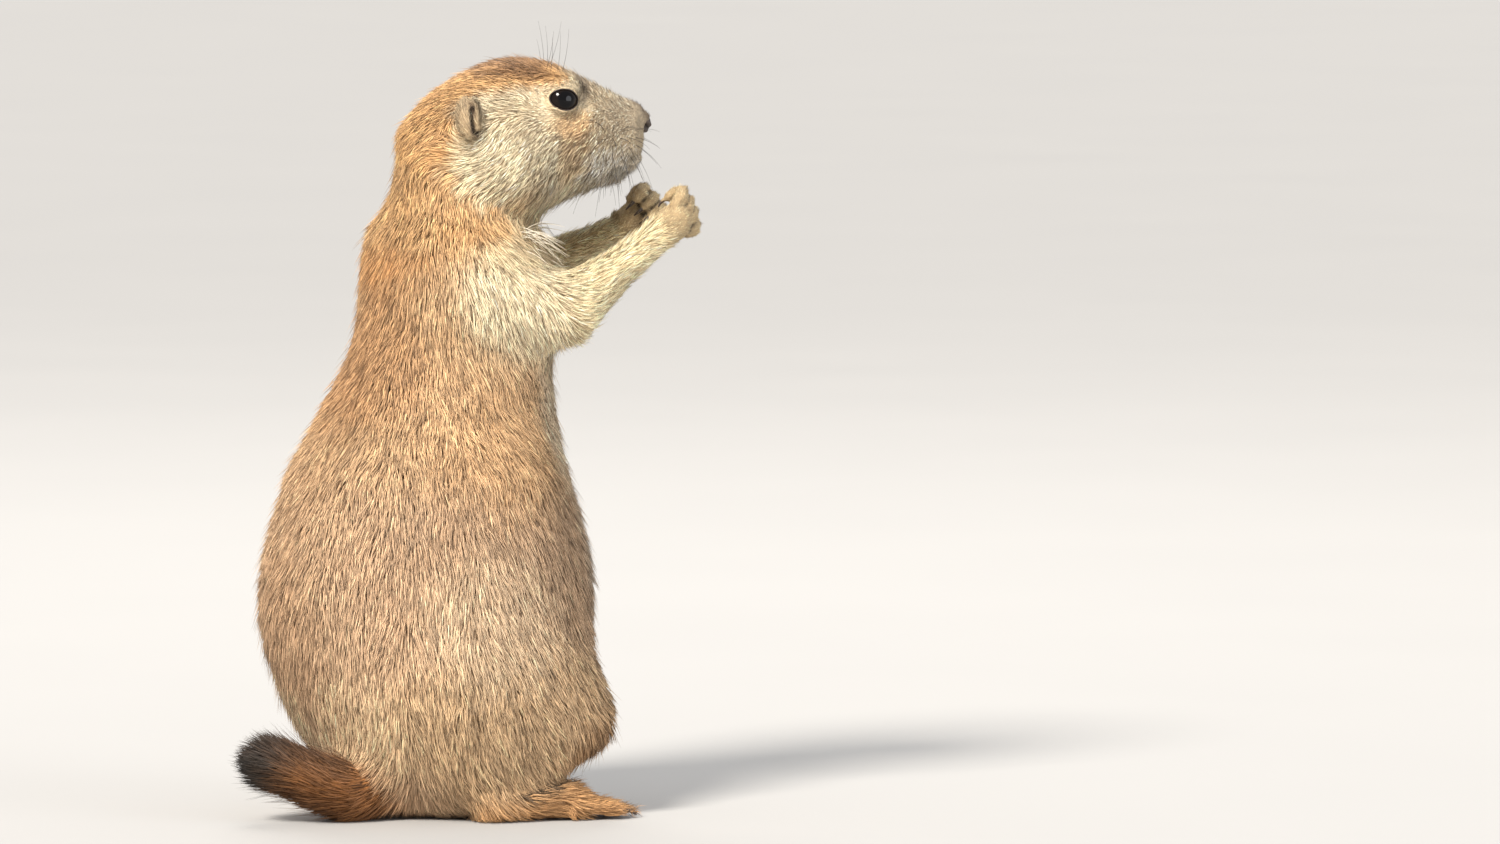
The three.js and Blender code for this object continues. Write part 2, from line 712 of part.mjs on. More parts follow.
function buildTrunk() {
  const rooms = joined([...limbsOf((name) => armRooms[name].grown), ...limbsOf((name) => legRooms[name].grown)]);
  const others = joined([...limbsOf((name) => feet[name].grown), tailCore(gap)]);
  const bare = keepBelow(trunk.solid.subtract(rooms).subtract(others), headNormal, headPoint);
  const neck = keepBelow(throat.solid.subtract(rooms), headNormal, headPoint);
  const belowNeck = keepBelow(bare, neckNormal, neckPlace);
  add("neck", keepAbove(neck, neckNormal, neckPlace), coats.nape);
  add("chest", keepAbove(belowNeck, upward, waist), coats.chest);
  add("abdomen", onFloor(keepBelow(belowNeck, upward, waist)), coats.back);
}

function buildArm(name) {
  const arm = arms[name];
  const [shoulder, elbow, wrist, palm] = ["shoulder", "elbow", "wrist", "palm"].map((k) =>
    vec(...arm[k].slice(0, 3)),
  );
  const bend = elbow.clone().sub(shoulder).normalize().add(wrist.clone().sub(elbow).normalize());
  const grip = palm.clone().sub(wrist);
  const whole = armSkins[name].intersect(armRooms[name].solid);
  const paw = keepAbove(whole, grip, wrist).add(fingers(arm, sides[name]));
  add("upper_arm_" + name, keepBelow(whole, bend, elbow), coats.arm);
  add("forearm_" + name, keepBelow(keepAbove(whole, bend, elbow), grip, wrist), coats.arm);
  add("forepaw_" + name, paw, coats.arm);
}

function buildLeg(name) {
  const thigh = legSkins[name].intersect(legRooms[name].solid).subtract(feet[name].grown);
  add("thigh_" + name, onFloor(thigh.subtract(tailCore(gap))), coats.back);
  add("hind_foot_" + name, onFloor(feet[name].solid.add(toes(legs[name]))), coats.foot);
}

function buildTail() {
  const core = tailCore(0);
  const baseLocks = tailLocks({ from: 0.24, to: 0.3, rings: 1, perRing: 8, long: 15, spread: 0.16 });
  const brushLocks = tailLocks({ from: 0.54, to: 0.96, rings: 5, perRing: 6, long: 14.5, spread: 0.62 });
  const at = tailCurve.getPoint(tailBrushFrom);
  const way = tailCurve.getTangent(tailBrushFrom);
  const base = core.add(baseLocks.subtract(trunk.grown));
  const brush = core.add(brushLocks.subtract(trunk.grown));
  add("tail_base", onFloor(keepBelow(base, way, at)), coats.tail);
  add("tail_brush", onFloor(keepAbove(brush, way, at)), coats.brush);
}

add("head", buildHead(), coats.face);
add("nose", nosePad.solid, coats.nose);
for (const name of Object.keys(sides)) {
  add("eye_" + name, eyes[name].solid, coats.eye);
  add("ear_" + name, ears[name].solid, coats.face);
}
buildTrunk();
for (const name of Object.keys(sides)) {
  buildArm(name);
  buildLeg(name);
}
buildTail();

// The origin is under the middle of the whole part, on the floor
const bounds = new THREE.Box3().setFromObject(body);
const middle = bounds.getCenter(vec(0, 0, 0));
body.position.set(-middle.x, -middle.y, -bounds.min.z);
const part = new THREE.Group();
part.name = "prairie_dog";
part.add(body);
export default part;
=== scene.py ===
import math

import bpy
import numpy as np
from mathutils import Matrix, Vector
from mathutils.bvhtree import BVHTree
from mathutils.kdtree import KDTree


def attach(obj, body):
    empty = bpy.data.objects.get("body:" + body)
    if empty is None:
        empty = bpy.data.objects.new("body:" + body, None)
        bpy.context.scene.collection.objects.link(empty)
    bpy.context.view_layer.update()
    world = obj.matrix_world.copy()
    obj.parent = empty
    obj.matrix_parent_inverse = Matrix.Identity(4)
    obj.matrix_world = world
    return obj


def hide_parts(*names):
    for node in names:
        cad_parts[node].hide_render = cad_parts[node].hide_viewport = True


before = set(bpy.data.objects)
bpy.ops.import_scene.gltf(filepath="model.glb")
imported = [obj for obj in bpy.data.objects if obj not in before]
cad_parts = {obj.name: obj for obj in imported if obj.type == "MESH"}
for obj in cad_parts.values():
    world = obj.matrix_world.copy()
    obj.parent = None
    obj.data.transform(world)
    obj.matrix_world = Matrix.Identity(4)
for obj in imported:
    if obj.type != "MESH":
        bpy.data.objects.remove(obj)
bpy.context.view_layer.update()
scene = bpy.context.scene
draws = np.random.default_rng(23)  # every random draw of the coat comes from here, in order

# Everything is worked out in millimetres in the animal's own frame and made in metres at the end.
# +x is the way the trunk faces, +y the animal's left, z = 0 the floor. A side is -1 right, 1 left.
headPlace = {"turn": -22.0, "axisX": 14.0}  # the head looks to the animal's right
eyeSpot = {"x": 31.6, "y": 14.7, "z": 246.1, "radius": 5.9}  # in the head's frame, left eye
sides = {"right": -1, "left": 1}
partShift = np.zeros(3)  # from the animal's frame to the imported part's, found below


def unit(v):
    v = np.asarray(v, float)
    return v / np.maximum(np.linalg.norm(v, axis=-1, keepdims=True), 1e-9)


def turned(points, degrees):  # about the upright
    a = math.radians(degrees)
    c, s = math.cos(a), math.sin(a)
    points = np.asarray(points, float)
    x, y = points[..., 0], points[..., 1]
    return np.stack([x * c - y * s, x * s + y * c, points[..., 2]], -1)


def pitched(points, degrees):  # forwards or back, about the animal's width
    a = math.radians(degrees)
    c, s = math.cos(a), math.sin(a)
    x, z = points[..., 0], points[..., 2]
    return np.stack([x * c - z * s, points[..., 1], z * c + x * s], -1)


def fromHead(points):
    return turned(points, headPlace["turn"]) + [headPlace["axisX"], 0, 0]


def toHead(points):
    return turned(np.asarray(points, float) - [headPlace["axisX"], 0, 0], -headPlace["turn"])


def smooth01(x, low, high):
    t = np.clip((np.asarray(x, float) - low) / (high - low), 0, 1)
    return t * t * (3 - 2 * t)


def mixed(a, b, share):
    share = np.asarray(share, float)[..., None]
    return np.asarray(a, float) * (1 - share) + np.asarray(b, float) * share


def linear(colour):  # from 0..255 as the eye sees it
    c = np.asarray(colour, float) / 255
    return np.where(c <= 0.04045, c / 12.92, ((c + 0.055) / 1.055) ** 2.4)


def waves(points, size, seed):  # a smooth random field from about -1 to 1, its swells about size mm apart
    own = np.random.default_rng(seed)
    total = np.zeros(len(points))
    for _ in range(7):
        way = unit(own.normal(size=3)) * own.uniform(0.7, 1.5) * 2 * math.pi / size
        total += np.sin(points @ way + own.uniform(0, 2 * math.pi))
    return total / 2.6


# Meshes

def makeObject(name, points, faces, smooth=True):
    mesh = bpy.data.meshes.new(name)
    faces = np.asarray(faces)
    count, corners = faces.shape
    mesh.vertices.add(len(points))
    mesh.vertices.foreach_set("co", ((points + partShift) * 0.001).ravel())
    mesh.loops.add(count * corners)
    mesh.loops.foreach_set("vertex_index", faces.ravel().astype(np.int32))
    mesh.polygons.add(count)
    mesh.polygons.foreach_set("loop_start", np.arange(0, count * corners, corners, dtype=np.int32))
    mesh.polygons.foreach_set("use_smooth", np.full(count, smooth))
    mesh.update(calc_edges=True)
    mesh.validate()
    made = bpy.data.objects.new(name, mesh)
    scene.collection.objects.link(made)
    return made


def readMesh(mesh):  # points in mm in the animal's frame, and triangles
    mesh.calc_loop_triangles()
    points = np.empty(len(mesh.vertices) * 3)
    mesh.vertices.foreach_get("co", points)
    triangles = np.empty(len(mesh.loop_triangles) * 3, np.int32)
    mesh.loop_triangles.foreach_get("vertices", triangles)
    return points.reshape(-1, 3) * 1000 - partShift, triangles.reshape(-1, 3)


def nodeMiddle(name):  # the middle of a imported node's solid
    points, triangles = readMesh(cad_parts[name].data)
    a, b, c = (points[triangles[:, k]] for k in range(3))
    volumes = np.einsum("ij,ij->i", a, np.cross(b, c))
    return ((a + b + c) / 4 * volumes[:, None]).sum(axis=0) / volumes.sum()


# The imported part's origin is under its middle, so the animal's frame is found again from its eyes
eyesMiddle = (nodeMiddle("eye_right") + nodeMiddle("eye_left")) / 2
partShift = (eyesMiddle - fromHead([eyeSpot["x"], 0, eyeSpot["z"]])) * [1, 1, 0]
print("frame shift", partShift.round(3))


def baked(obj):  # the object's modifiers made into a plain mesh
    graph = bpy.context.evaluated_depsgraph_get()
    mesh = bpy.data.meshes.new_from_object(obj.evaluated_get(graph))
    obj.modifiers.clear()
    obj.data = mesh
    return obj


def pointNormals(points, triangles):
    a, b, c = (points[triangles[:, k]] for k in range(3))
    face = np.cross(b - a, c - a)
    total = np.zeros_like(points)
    for corner in range(3):
        for axis in range(3):
            total[:, axis] += np.bincount(triangles[:, corner], face[:, axis], len(points))
    return unit(total)


class Net:  # who neighbours whom, for smoothing over a mesh
    def __init__(self, triangles, count):
        pairs = np.concatenate([triangles[:, [0, 1]], triangles[:, [1, 2]], triangles[:, [2, 0]]])
        pairs = np.unique(np.sort(pairs, axis=1), axis=0)
        self.a = np.concatenate([pairs[:, 0], pairs[:, 1]])
        self.b = np.concatenate([pairs[:, 1], pairs[:, 0]])
        self.count = count
        self.degree = np.maximum(np.bincount(self.a, minlength=count), 1)

    def mean(self, values):
        if values.ndim == 1:
            return np.bincount(self.a, values[self.b], self.count) / self.degree
        return np.stack([self.mean(values[:, k]) for k in range(values.shape[1])], 1)

    def spread(self, values, rounds, hold=0.3):
        for _ in range(rounds):
            values = values * hold + self.mean(values) * (1 - hold)
        return values

    def islands(self, pairs=slice(None)):  # a label for each stretch that these pairs hold together
        a, b = self.a[pairs], self.b[pairs]
        label = np.arange(self.count)
        while True:
            lowest = label.copy()
            np.minimum.at(lowest, a, label[b])
            lowest = lowest[lowest]
            if np.array_equal(lowest, label):
                return label
            label = lowest


def joined(parts):  # a list of points and triangles, made one
    starts = np.cumsum([0] + [len(points) for points, _ in parts])
    moved = [triangles + start for (_, triangles), start in zip(parts, starts)]
    return np.concatenate([points for points, _ in parts]), np.concatenate(moved)


def dressed(piece, material, colours=None, uv=None):  # colours are linear, one for each point
    if colours is not None:
        layer = piece.data.attributes.new("markingsAndShade", "FLOAT_COLOR", "POINT")
        layer.data.foreach_set("color", np.column_stack([colours, np.ones(len(colours))]).ravel())
    if uv is not None:
        piece.data.uv_layers.new(name="OFBake").data.foreach_set("uv", uv.ravel())
    piece.data.materials.append(material)
    return piece


# Lines, and round shapes along them

def along(line, steps):  # an even smooth curve through the points of a line
    line = np.asarray(line, float)
    ends = np.vstack([2 * line[0] - line[1], line, 2 * line[-1] - line[-2]])
    t = np.linspace(0, len(line) - 1, steps)
    i = np.minimum(t.astype(int), len(line) - 2)
    s = (t - i)[:, None]
    p0, p1, p2, p3 = (ends[i + k] for k in range(4))
    ahead, bow, twist = p2 - p0, 2 * p0 - 5 * p1 + 4 * p2 - p3, 3 * p1 - p0 - 3 * p2 + p3
    return 0.5 * (2 * p1 + ahead * s + bow * s**2 + twist * s**3)


def nearestOnLine(points, line):  # distance to a line of points, and the share along it
    best = np.full(len(points), 1e9)
    share = np.zeros(len(points))
    for i in range(len(line) - 1):
        step = line[i + 1] - line[i]
        t = np.clip((points - line[i]) @ step / (step @ step), 0, 1)
        away = np.linalg.norm(points - line[i] - t[:, None] * step, axis=1)
        share = np.where(away < best, (i + t) / (len(line) - 1), share)
        best = np.minimum(best, away)
    return best, share


def awayFromPair(points, line, steps):  # distance to the nearer of a smooth curve and its mirror image
    curves = [along(np.array(line) * [1, side, 1], steps) for side in sides.values()]
    return np.min([nearestOnLine(points, curve)[0] for curve in curves], axis=0)


def circles(side, up, count):  # a unit circle round each point of a line
    turn = np.linspace(0, 2 * math.pi, count, endpoint=False)
    return side[:, None] * np.cos(turn)[None, :, None] + up[:, None] * np.sin(turn)[None, :, None]


def closedRows(rows, count):  # triangles of rows of points, with fans to the two points that follow them
    n = np.arange(count)
    m = (n + 1) % count
    last = (rows - 1) * count
    faces = []
    for a in range(0, last, count):
        b = a + count
        faces.append(np.stack([a + n, b + m, b + n], 1))
        faces.append(np.stack([a + n, a + m, b + m], 1))
    faces.append(np.stack([np.full(count, rows * count), m, n], 1))
    faces.append(np.stack([np.full(count, rows * count + 1), last + n, last + m], 1))
    return np.concatenate(faces)


def tubeArrays(line, radii, count=12):  # a round tube as points and triangles
    ahead = unit(np.gradient(line, axis=0))
    side = unit(np.cross(ahead, [0.02, 0.05, 1.0]))
    rings = circles(side, np.cross(side, ahead), count) * radii[:, None, None]
    points = (line[:, None] + rings).reshape(-1, 3)
    return np.vstack([points, line[0], line[-1]]), closedRows(len(line), count)


# The limbs and the tail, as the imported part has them

arms = {
    "right": {"elbow": [33, -36.5, 174.2], "wrist": [70, -37, 200], "palm": [76.9, -36.6, 204.2]},
    "left": {"elbow": [47, 27, 181], "wrist": [70.5, -7, 200], "palm": [75.6, -10.4, 204.6]},
}
toeRoots = {"right": [49, -42], "left": [49, 42]}
tail = {
    "line": [[-16, -9, 10.5], [-31, -13, 11], [-45, -14, 13],
             [-56, -11, 17], [-64, -8, 20], [-70, -5, 21.8]],
    "radii": [9.6, 9.0, 7.0, 5.2, 4.2, 2.4], "steps": 24,
    "over": 1.5,  # mm outside the tube that are still tail
    "from": 0.14,  # share along the line at which the tail leaves the rump
}
tailCurve = along(tail["line"], tail["steps"])


def tailGirth(share):
    return np.interp(share, np.linspace(0, 1, len(tail["radii"])), tail["radii"])


# The skin: one closed surface under the whole coat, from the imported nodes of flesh

skinBuild = {
    "grow": 0.25,  # mm, closes the thin gaps between the nodes
    "voxel": 0.6, "triangles": 176000,
    "fineAbove": 203.0,  # the head above this height keeps its fine mesh
    "smooth": 26,  # rounds of smoothing, but for the kinds of skin and the muzzle's front that follow
    "smoothOf": {"head": 10, "nose": 10, "ear": 3, "forearm": 8, "tail": 8, "forepaw": 2, "hind": 2},
    "smoothMuzzle": 2, "muzzleFrom": 54,  # x in the head's frame
    "digitRelief": 0.9,  # how far the relief of the hands is drawn out
    "lowest": 0.15,  # mm over the floor
}
notFlesh = ("eye_", "tail_")
coatDepth = {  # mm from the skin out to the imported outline
    "head": 1.7, "nose": 0.6, "ear": 0.35, "neck": 3.0, "chest": 3.5, "abdomen": 4.0,
    "upper": 3.2, "forearm": 1.9, "forepaw": 0.25, "thigh": 3.6, "hind": 0.8, "tail": 0.0,
}
muzzleCoat = {"from": (34, 54), "tipFrom": (55, 59), "depth": 0.7, "tipLess": 0.5}  # head's x; mm
kinds = list(coatDepth)


def flesh():  # with the eyeballs, so that the skin closes over their sockets
    parts = []
    for name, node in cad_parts.items():
        if name.startswith("tail_"):
            continue
        points, triangles = readMesh(node.data)
        _, first, back = np.unique(points.round(3), axis=0, return_index=True, return_inverse=True)
        triangles = back.ravel()[triangles]
        sound = (np.diff(np.sort(triangles, axis=1), axis=1) > 0).all(axis=1)
        points, triangles = points[first], triangles[sound]
        parts.append((points + pointNormals(points, triangles) * skinBuild["grow"], triangles))
    parts.append(tubeArrays(tailCurve, tailGirth(np.linspace(0, 1, tail["steps"]))))
    return joined(parts)


def evenMesh(points, triangles):
    rough = makeObject("rough", points, triangles)
    remesh = rough.modifiers.new("even", "REMESH")
    remesh.mode = "VOXEL"
    remesh.voxel_size = skinBuild["voxel"] * 0.001
    baked(rough)
    fine, _ = readMesh(rough.data)
    group = rough.vertex_groups.new(name="coarser")
    group.add(np.nonzero(fine[:, 2] < skinBuild["fineAbove"])[0].tolist(), 1.0, "REPLACE")
    thin = rough.modifiers.new("thin", "DECIMATE")
    thin.vertex_group = group.name
    thin.ratio = skinBuild["triangles"] / (2 * len(rough.data.polygons))
    baked(rough)
    points, triangles = readMesh(rough.data)
    bpy.data.objects.remove(rough)
    label = Net(triangles, len(points)).islands()
    names, counts = np.unique(label[triangles[:, 0]], return_counts=True)
    triangles = triangles[label[triangles[:, 0]] == names[counts.argmax()]]
    used, back = np.unique(triangles, return_inverse=True)
    return points[used], back.reshape(-1, 3)


def nodeKinds(points):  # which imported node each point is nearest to
    names = [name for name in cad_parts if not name.startswith(notFlesh)]
    solids = [readMesh(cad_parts[name].data) for name in names]
    corners, polygons = joined(solids)
    owner = np.repeat(names, [len(triangles) for _, triangles in solids])
    tree = BVHTree.FromPolygons(corners.tolist(), polygons.tolist())
    return owner[[tree.find_nearest(p)[2] for p in points.tolist()]]


points, triangles = evenMesh(*flesh())
net = Net(triangles, len(points))
nodeOf = nodeKinds(points)
tailAway, tailShare = nearestOnLine(points, tailCurve)
onTail = (tailAway < tailGirth(tailShare) + tail["over"]) & (tailShare > tail["from"])
onTail &= nodeOf != "hind_foot_right"
nodeOf[onTail] = "tail"
kindOf = np.array([kinds.index(name.split("_")[0]) for name in nodeOf])
print("even mesh", len(points), "points", len(triangles), "triangles")


def isKind(*names):
    return np.isin(kindOf, [kinds.index(name) for name in names])


def smoothSkin(points):
    most = skinBuild["smooth"]
    rounds = np.array([skinBuild["smoothOf"].get(kind, most) for kind in kinds], float)[kindOf]
    inFront = toHead(points)[:, 0] > skinBuild["muzzleFrom"]
    rounds[isKind("head", "nose") & inFront] = skinBuild["smoothMuzzle"]
    rounds = net.spread(rounds, 4)
    for step in range(most):
        moving = np.clip(rounds - step, 0, 1)[:, None] * 0.6
        points = points + (net.mean(points) - points) * moving
    return points


earCup = {
    "slit": [[0.2, 0, 243.6], [0.3, 0, 239], [0.5, 0, 235.8], [1.8, 0, 234.9], [3.6, 0, 235.1]],
    "walls": (1.8, 2.6), "narrowed": 0.8, "half": 0.6, "soft": 0.9,  # mm from the slit's line
    "facing": (0.75, 0.95),  # skin that faces sideways more than this is left as it is
    # colour is painted shade down in the slit; rim is the ear's own paler colour
    "colour": (62, 44, 34), "rim": (204, 178, 140),
}
headCut = {"front": (28, 205), "back": (-22, 226), "blend": 15.0}  # x and z of the cut below the head; mm


def neckNearness(local):  # 1 at the cut between head and neck, 0 a blend's width above it
    (x0, z0), (x1, z1) = headCut["front"], headCut["back"]
    above = unit([z1 - z0, x0 - x1])
    high = (local[:, 0] - x0) * above[0] + (local[:, 2] - z0) * above[1]
    return (1 - smooth01(high, 0, headCut["blend"])) * isKind("head", "ear")


def blendedKind(values, rounds):  # a value for each kind of skin, run together where kinds meet
    near = neckNearness(headPoints)
    own = np.array([values[kind] for kind in kinds], float)
    blended = own[kindOf]
    share = near if blended.ndim == 1 else near[:, None]
    return net.spread(blended * (1 - share) + own[kinds.index("neck")] * share, rounds)


points = smoothSkin(points)
headPoints = toHead(points)
isFace = isKind("head", "nose")
muzzleShare = smooth01(headPoints[:, 0], *muzzleCoat["from"]) * isFace
tipShare = smooth01(headPoints[:, 0], *muzzleCoat["tipFrom"]) * isFace
muzzleDepth = muzzleCoat["depth"] - muzzleCoat["tipLess"] * tipShare
depth = blendedKind(coatDepth, 12) * (1 - muzzleShare) + muzzleDepth * muzzleShare
points = points + (points - net.spread(points, 3)) * (skinBuild["digitRelief"] * isKind("forepaw"))[:, None]
normals = pointNormals(points, triangles)
slitAway, _ = nearestOnLine(headPoints * [1, 0, 1], np.array(earCup["slit"], float))
facing = np.abs(turned(normals, -headPlace["turn"])[:, 1])
slitShare = (1 - smooth01(slitAway, *earCup["walls"])) * (1 - smooth01(facing, *earCup["facing"]))
drawnIn = earCup["narrowed"] * net.spread(slitShare * isKind("ear"), 2)
points = points + normals * (drawnIn - depth)[:, None]


# The face, modelled in the head's own frame: x to the nose, y to the left, z up

eyeSocket = {
    "wide": 5.9, "above": 3.7, "below": 3.5,  # half sizes of the almond between the lids, along the ball
    "corner": 0.35,  # how far its front corner is drawn out
    "level": (1, 0, -0.12),  # the way of its long axis
    "sunk": 1.4,  # the socket floor, inside the ball
    "lid": 0.4, "ring": 0.5,  # how far the lids stand over the ball
    "forward": 0.27, "upward": 0.05,  # which way the eye looks, besides sideways
    "edge": (0.93, 1.04), "lidSpan": (1.1, 1.5), "eased": (1.3, 2.5),  # 1 is on the edge of the almond
    "brow": (1.15, 1.6), "browRounds": 6,
    "reach": 7, "known": 5, "far": 9,  # mm outside the ball that are shaped and marked; 9 is on no lid
}
mouth = {
    "line": [[42, 15, 220.6], [48, 11.5, 220.4], [53.5, 8.5, 221.6], [57.6, 4.5, 223.2], [59.5, 0, 224]],
    "deep": 0.7, "width": 0.7, "lip": 0.3, "lipAway": 1.9, "lipWidth": 0.9,
}
noseBuild = {
    "at": (60.7, 0, 237.1), "size": (3.4, 3.6, 3.5), "pitch": 24,
    "sunk": 0.2, "edge": (0.97, 1.05),  # the skin under the pad, and where it comes up to it
    "nostril": [[63.7, 1.2, 235.2], [62.8, 2.5, 235.9], [61.4, 3.6, 236.9]],
    "deep": 1.1, "hole": 0.62, "wing": 0.3, "wingAway": 1.5, "wingWidth": 0.6,
    "cleft": 0.4, "cleftHalf": 0.4, "cleftBelow": (236.4, 238.6),
    # colour is the pad's own; inside is painted shade in the nostrils and the cleft
    "colour": (66, 53, 45), "inside": (40, 31, 27),
}


def eyeAxes(side):  # where the eye is, the way it looks, and the opening's long and short axes
    centre = np.array([eyeSpot["x"], side * eyeSpot["y"], eyeSpot["z"]])
    look = unit([eyeSocket["forward"], side, eyeSocket["upward"]])
    level = unit(np.array(eyeSocket["level"]) - look * (look @ eyeSocket["level"]))
    return centre, look, level, np.cross(level, look) * -side


def almond(a, b):  # 1 on the edge of the lids, less inside; a is forwards, b upwards
    tall = np.where(b > 0, eyeSocket["above"], eyeSocket["below"])
    power = 2 - eyeSocket["corner"] * smooth01(a / (np.hypot(a, b) + 1e-9), 0.3, 1)
    return (np.abs(a / eyeSocket["wide"])**power + np.abs(b / tall)**power) ** (1 / power)


def opening(local, side):
    centre, look, level, high = eyeAxes(side)
    way = unit(local - centre)
    arc = np.arccos(np.clip(way @ look, -1, 1)) * eyeSpot["radius"]
    flat = unit(np.stack([way @ level, way @ high], -1)) * arc[:, None]
    return almond(flat[:, 0], flat[:, 1])


def shapeEyes(local):
    ball = eyeSpot["radius"]
    for side in sides.values():
        centre = eyeAxes(side)[0]
        arm = local - centre
        away = np.linalg.norm(arm, axis=1)
        m = opening(local, side)
        raised = (eyeSocket["ring"] - eyeSocket["lid"]) * smooth01(m, *eyeSocket["lidSpan"])
        lid = ball + eyeSocket["lid"] + raised
        edge = smooth01(m, *eyeSocket["edge"])
        target = (ball - eyeSocket["sunk"]) * (1 - edge) + lid * edge
        keep = smooth01(m, *eyeSocket["eased"])
        wanted = target * (1 - keep) + away * keep
        near = (away < ball + eyeSocket["reach"]) & (m < eyeSocket["eased"][1])
        local = np.where(near[:, None], centre + unit(arm) * wanted[:, None], local)
    return local


def shapeMouth(local, outward):
    away = awayFromPair(local, mouth["line"], 30)
    groove = np.exp(-((away / mouth["width"]) ** 2)) * mouth["deep"]
    lips = np.exp(-(((away - mouth["lipAway"]) / mouth["lipWidth"]) ** 2)) * mouth["lip"]
    return local + outward * (lips - groove)[:, None] * isFace[:, None]


def noseAway(local):  # 1 on the pad's surface, less inside
    return np.linalg.norm(pitched(local - noseBuild["at"], noseBuild["pitch"]) / noseBuild["size"], axis=1)


def sinkUnderPad(local):
    share = 1 - smooth01(noseAway(local), *noseBuild["edge"])
    return local - (local - noseBuild["at"]) * noseBuild["sunk"] * (share * isFace)[:, None]


headPoints = toHead(points)
headNormals = turned(pointNormals(points, triangles), -headPlace["turn"])
headPoints = sinkUnderPad(shapeMouth(headPoints, headNormals))
headPoints = np.where(isFace[:, None], shapeEyes(headPoints), headPoints)
openEye = np.minimum(opening(headPoints, 1), opening(headPoints, -1))
eyeAway = np.min([np.linalg.norm(headPoints - eyeAxes(s)[0], axis=1) for s in sides.values()], axis=0)
openEye[(eyeAway > eyeSpot["radius"] + eyeSocket["known"]) | ~isFace] = eyeSocket["far"]
browsAndCheeks = (smooth01(openEye, *eyeSocket["brow"]) * (openEye < eyeSocket["far"]))[:, None]
for _ in range(eyeSocket["browRounds"]):  # eases the lids into the brow and the cheek
    headPoints = headPoints + (net.mean(headPoints) - headPoints) * browsAndCheeks * 0.6
points = fromHead(headPoints)
points[:, 2] = np.maximum(points[:, 2], skinBuild["lowest"])
normals = pointNormals(points, triangles)
print("skin shaped")


# The unwrap of the skin: a flat chart for each stretch that faces one way, set side by side in rows

unwrap = {"margin": 2.0, "evened": 24, "width": 430.0}  # mm, rounds, mm of chart rows in the unit square


def chartPlaces(sizes):  # shelves of charts, tallest first
    spots = np.zeros_like(sizes)
    x = y = tall = 0.0
    for i in np.argsort(-sizes[:, 1], kind="stable"):
        wide, high = sizes[i] + unwrap["margin"]
        if x + wide > unwrap["width"]:
            x, y, tall = 0.0, y + tall, 0.0
        spots[i] = x, y
        x, tall = x + wide, max(tall, high)
    return spots, max(unwrap["width"], y + tall)


def unwrapSkin():  # a place in the unit square for each corner of each triangle
    ways = np.array([[1, 0, 0], [-1, 0, 0], [0, 1, 0], [0, -1, 0], [0, 0, 1], [0, 0, -1]], float)
    facing = net.spread(normals, unwrap["evened"]) @ ways.T
    votes = net.spread(np.eye(len(ways))[facing.argmax(axis=1)], unwrap["evened"])
    way = votes.argmax(axis=1)
    _, island = np.unique(net.islands(way[net.a] == way[net.b]), return_inverse=True)
    chart = island[triangles[:, 0]]
    flat = way[triangles[:, 0]] // 2  # the axis that each triangle is flattened along
    kept = np.stack([np.where(flat == 0, 1, 0), np.where(flat == 2, 1, 2)], 1)
    uv = np.take_along_axis(points[triangles], kept[:, None].repeat(3, 1), 2)
    count = island.max() + 1
    low = np.full((count, 2), 1e9)
    high = np.full((count, 2), -1e9)
    for k in range(3):
        np.minimum.at(low, chart, uv[:, k])
        np.maximum.at(high, chart, uv[:, k])
    spots, side = chartPlaces(np.maximum(high - low, 0))
    print("unwrap", count, "charts in", round(side), "mm")
    uv = uv - low[chart][:, None] + spots[chart][:, None] + unwrap["margin"] / 2
    return uv / (side + unwrap["margin"])


skinUv = unwrapSkin()


# Markings and painted shade: the base colour of each part of the body, then soft patches laid over it, and
# painted shade on the tail's top, in the ear's slit and between the digits

baseColours = {
    "head": (220, 202, 170), "nose": (150, 136, 116), "ear": (186, 166, 136), "neck": (206, 163, 114),
    "chest": (204, 166, 124), "abdomen": (198, 164, 130), "upper": (232, 212, 176),
    "forearm": (245, 220, 174), "forepaw": (214, 190, 148), "thigh": (202, 169, 130),
    "hind": (188, 142, 94), "tail": (150, 102, 60),
}
cap = {  # the tawny cap lies above one line and behind another, each of x and z in the head's frame
    "above": [[-30, 236], [-4, 243.5], [2, 246], [10, 248], [20, 249.8], [28, 250.6], [33, 251.8],
              [38, 255], [43, 262]],
    "behind": [[-8, 196], [-5, 211], [-1, 226], [-4, 236], [-5, 246], [-5, 262]],
    "soft": 2.6, "ragged": 0.6, "colour": (208, 162, 110),
}
